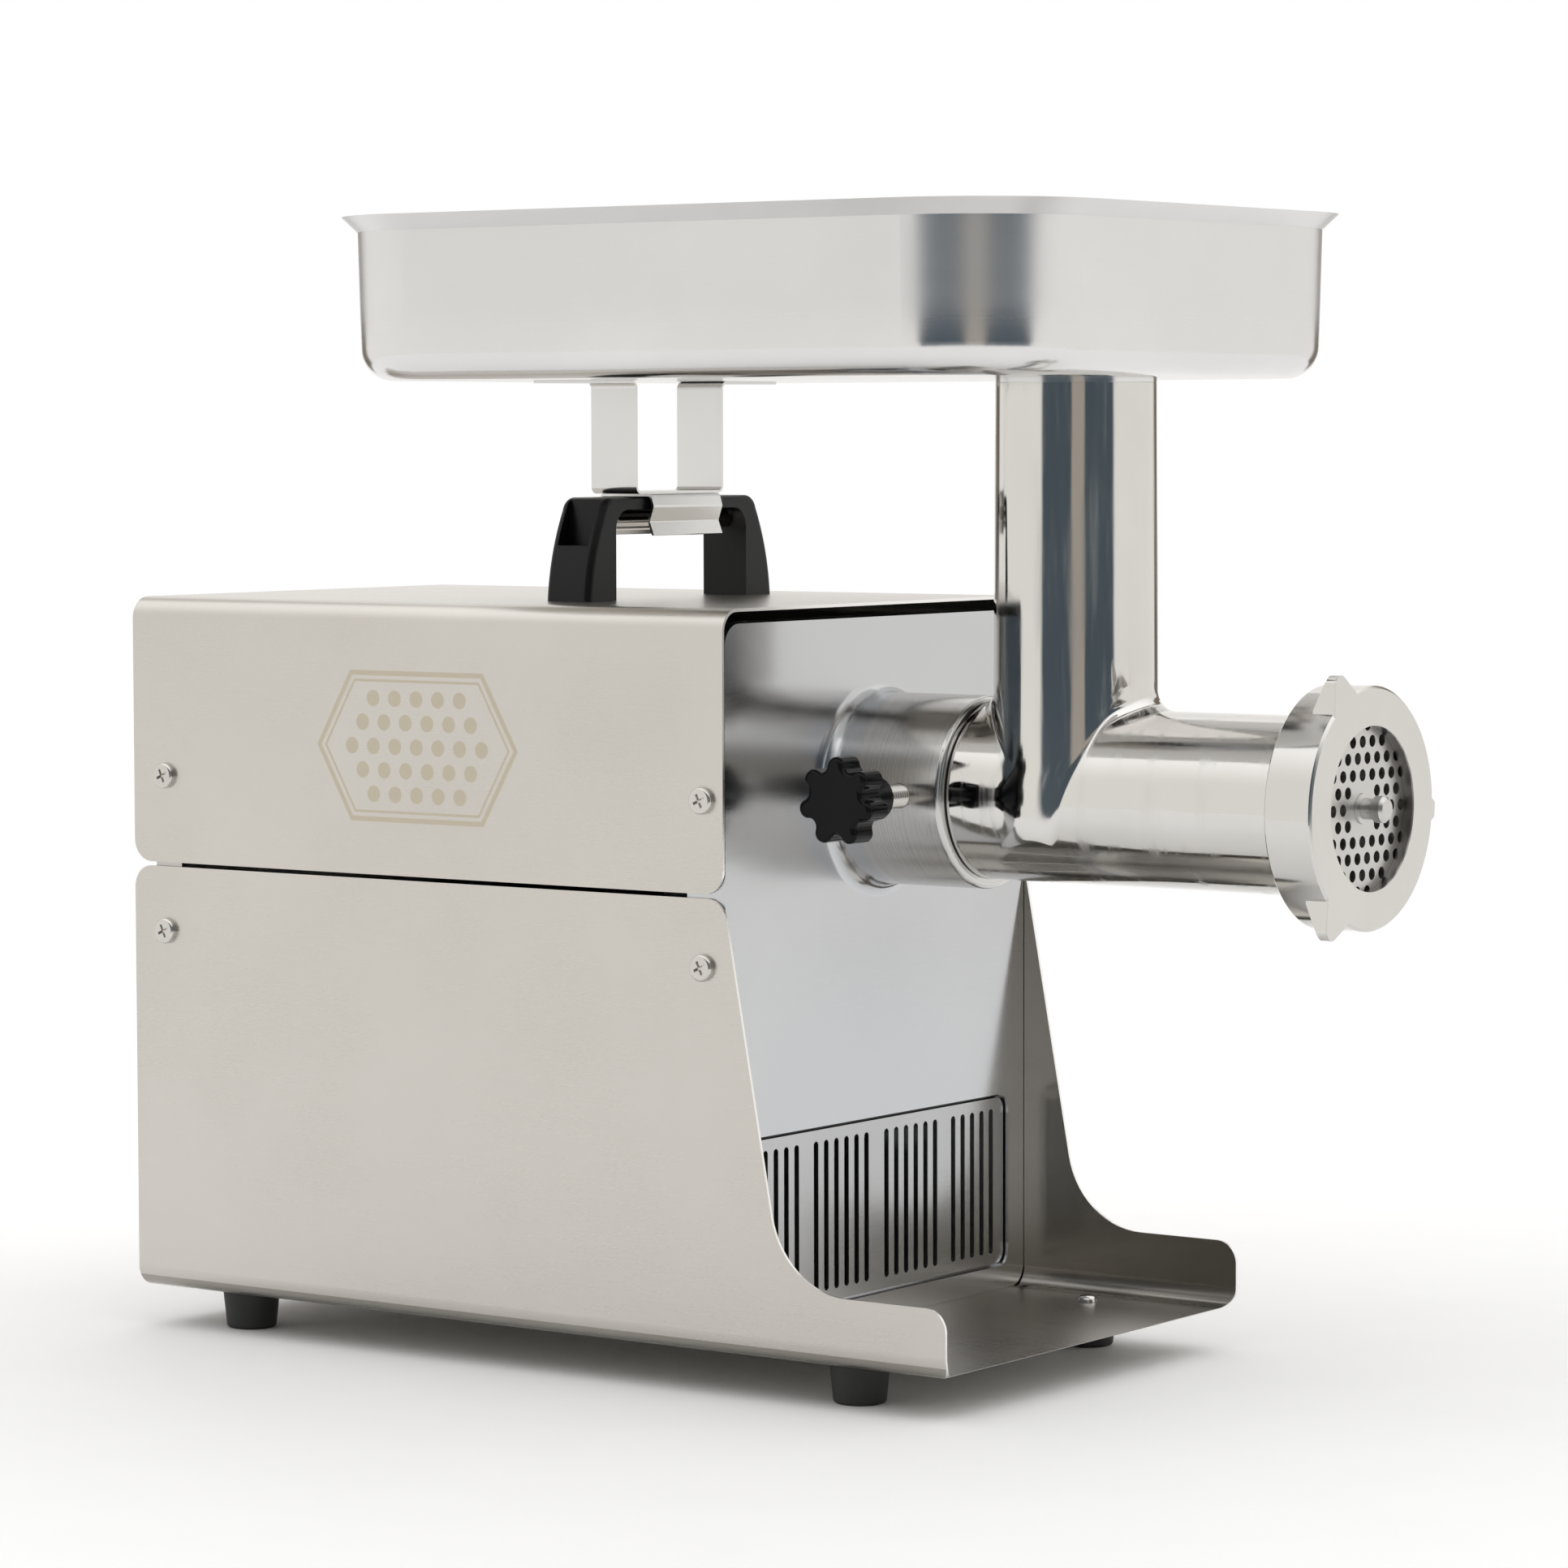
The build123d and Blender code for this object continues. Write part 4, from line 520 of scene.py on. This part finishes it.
ring_steel, finish = begin("ring_steel")
radius, y, rings = turned_marks(finish)
cloud = finish.noise(finish.place(), 30.0, 3.0, 0.5)
front = 1 - finish.spread(y, ring_low.y + FACE_DEPTH * 0.5, ring_low.y + FACE_DEPTH)
# Painted shade: the wall of the ring nut's mouth is painted dark.
mouth_shade = (1 - finish.spread(radius, MOUTH_R, MOUTH_R + 0.0004)) * (1 - front)
tone = finish.blend(cloud, rgb(0.62, 0.605, 0.58), rgb(0.68, 0.665, 0.64))
tone = finish.blend(mouth_shade, tone, rgb(0.20, 0.19, 0.18))
gloss = cloud * 0.06 + front * 0.20 + mouth_shade * 0.3 + 0.06
sockets = {"Base Color": tone, "Metallic": 1.0, "Roughness": gloss}
close(finish, sockets, rings * (front * 0.8 + 0.2), 0.12, 0.00005)

cast, finish = begin("buffed_casting")
radius, y, rings = turned_marks(finish)
x, y, z = parts_of(finish)
COLLAR_START, COLLAR_FADE = -0.047, 0.004
cloud = finish.noise(finish.place((9, 9, 9)), 1.0, 3.0, 0.5)
smear = finish.noise(finish.place((60, 60, 900)), 1.0, 2.0, 0.6)
collar = 1 - finish.spread(y, COLLAR_START - COLLAR_FADE, COLLAR_START)
tone = finish.blend(cloud, rgb(0.50, 0.51, 0.525), rgb(0.60, 0.605, 0.615))
tone = finish.blend(collar, tone, finish.blend(rings, rgb(0.44, 0.43, 0.415), rgb(0.78, 0.77, 0.75)))
grille_low, grille_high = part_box("vent_grille")
WINDOW_CORNER, GAP_SHADE, GAP_RISE = 0.008, 0.0011, 0.0006
half_x, half_z = (grille_high.x - grille_low.x) / 2, (grille_high.z - grille_low.z) / 2
past_x = size_of(finish, x - (grille_high.x + grille_low.x) / 2) - (half_x - WINDOW_CORNER)
past_z = size_of(finish, z - (grille_high.z + grille_low.z) / 2 - GAP_RISE) - (half_z - WINDOW_CORNER)
past_x = finish.node("Math", {"operation": "MAXIMUM"}, {0: past_x, 1: 0.0})
past_z = finish.node("Math", {"operation": "MAXIMUM"}, {0: past_z, 1: 0.0})
past = length(finish, combine(finish, past_x, past_z, 0.0)) - WINDOW_CORNER
# Painted shade: a dark band round the grille's window stands for a gap the mesh doesn't have.
tone = finish.blend(1 - finish.spread(past, GAP_SHADE * 0.8, GAP_SHADE), tone, rgb(0.02, 0.02, 0.02))
gloss = finish.spread(cloud, 0.3, 0.7) * 0.10 + smear * 0.04 + collar * (rings * 0.12) + 0.10
close(
    finish,
    {"Base Color": tone, "Metallic": 1.0, "Roughness": gloss},
    rings * collar + smear * (1 - collar) * 0.4,
    0.12,
    0.00006,
)


# %% [markdown]
# ## Clamping screw
# The knob turns a coarse stud. Its rolled thread catches the light between the knob and the collar, so
# the stud is made again with a real helix: the radius falls and rises once per turn and pitch.

# %% Threaded stud
stud_low, stud_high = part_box("knob_stud")
STUD_R = (stud_high.z - stud_low.z) / 2
THREAD_PITCH, THREAD_DEPTH = 0.0015, 0.00085
ROUND_STEPS, STEPS_PER_PITCH = 48, 8
stud_length = stud_high.x - stud_low.x
stud_y, stud_z = (stud_low.y + stud_high.y) / 2, (stud_low.z + stud_high.z) / 2
built = bmesh.new()
rows = []
row_count = int(stud_length / THREAD_PITCH * STEPS_PER_PITCH)
for row in range(row_count + 1):
    x = stud_low.x + stud_length * row / row_count
    ends = min(1.0, min(x - stud_low.x, stud_high.x - x) / 0.001)
    ring = []
    for step in range(ROUND_STEPS):
        turn = 2 * math.pi * step / ROUND_STEPS
        phase = ((x - stud_low.x) / THREAD_PITCH - step / ROUND_STEPS) % 1.0
        groove = 1 - abs(2 * phase - 1)
        radius = STUD_R - THREAD_DEPTH * max(0.0, groove * 1.2 - 0.2) - 0.0006 * (1 - ends)
        ring.append(built.verts.new((x, stud_y + radius * math.sin(turn), stud_z + radius * math.cos(turn))))
    rows.append(ring)
for first, second in zip(rows, rows[1:]):
    for step in range(ROUND_STEPS):
        after = (step + 1) % ROUND_STEPS
        built.faces.new((first[step], first[after], second[after], second[step]))
built.faces.new(rows[0])
built.faces.new(list(reversed(rows[-1])))
bmesh.ops.recalc_face_normals(built, faces=built.faces)
stud_mesh = bpy.data.meshes.new("threaded_stud")
built.to_mesh(stud_mesh)
stud_mesh.shade_smooth()
stud = bpy.data.objects.new("threaded_stud", stud_mesh)
bpy.context.scene.collection.objects.link(stud)
stud_mesh.materials.append(screw_steel)
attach(stud, "clamp")
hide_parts("knob_stud")
print("thread turns", round(stud_length / THREAD_PITCH, 1), "times in", round(stud_length * 1000, 1), "mm")

# %% Plastics and rubber


def moulded(name, colour, paler, rough, grain=1400.0, bump=0.12, shine=0.5):
    """Moulded plastic or rubber: a fine skin texture and slightly uneven gloss."""
    material, finish = begin(name)
    skin = finish.noise(finish.place(), grain, 2.0, 0.5)
    cloud = finish.noise(finish.place(), 45.0, 2.0, 0.5)
    tone = finish.blend(cloud, colour, paler)
    gloss = cloud * 0.12 + skin * 0.06 + (rough - 0.09)
    sockets = {"Base Color": tone, "Roughness": gloss, "Specular IOR Level": shine}
    close(finish, sockets, skin, bump, 0.00006)
    return material


handle_black = moulded("handle_black", rgb(0.005, 0.005, 0.006), rgb(0.008, 0.008, 0.009), 0.34, shine=0.25)
knob_black = moulded(
    "knob_black", rgb(0.004, 0.004, 0.005), rgb(0.007, 0.007, 0.008), 0.14, 600.0, 0.03, shine=0.12
)
fitting_black = moulded("fitting_black", rgb(0.015, 0.015, 0.016), rgb(0.03, 0.03, 0.032), 0.45)
red = moulded("red_button", rgb(0.45, 0.02, 0.015), rgb(0.55, 0.04, 0.03), 0.3)
nylon = moulded("white_nylon", rgb(0.78, 0.78, 0.74), rgb(0.84, 0.84, 0.80), 0.45)
carbon = moulded("carbon", rgb(0.02, 0.02, 0.02), rgb(0.04, 0.04, 0.04), 0.6)
rubber = moulded("foot_rubber", rgb(0.014, 0.014, 0.014), rgb(0.03, 0.03, 0.029), 0.62, 900.0, 0.3)
lamination = brushed("laminations", rgb(0.28, 0.29, 0.31), rgb(0.20, 0.21, 0.23), (20, 2500, 20), 0.45)

# %% Finishes on the frame's pieces
BY_SLOT = {
    "sheet_steel": cover_sheet,
    "pan_steel": pan_steel,
    "spring_steel": strip_steel,
    "cast_face": cast,
    "polished_head": head_steel,
    "ring_steel": ring_steel,
    "plate_steel": plate_steel,
    "screw_steel": screw_steel,
    "shaft_steel": shaft_steel,
    "gear_steel": gear_steel,
    "gearbox_alloy": alloy,
    "lamination": lamination,
    "copper": copper,
    "bronze": bronze,
    "carbon": carbon,
    "black_handle": handle_black,
    "black_knob": knob_black,
    "black_fitting": fitting_black,
    "red_button": red,
    "white_terminal": nylon,
    "foot_rubber": rubber,
}
BY_NODE = {"vent_grille": grille_steel, "rear_panel": panel_steel, "lower_tray": tray_sheet}

slot_of = {part["node"]: part["material_slot"] for part in frame["record"]["subparts"]}
for name, piece in nodes.items():
    look = BY_NODE.get(name, BY_SLOT[slot_of[name]])
    piece.data.materials.clear()
    piece.data.materials.append(look)
print("finishes laid on", len(nodes), "pieces")
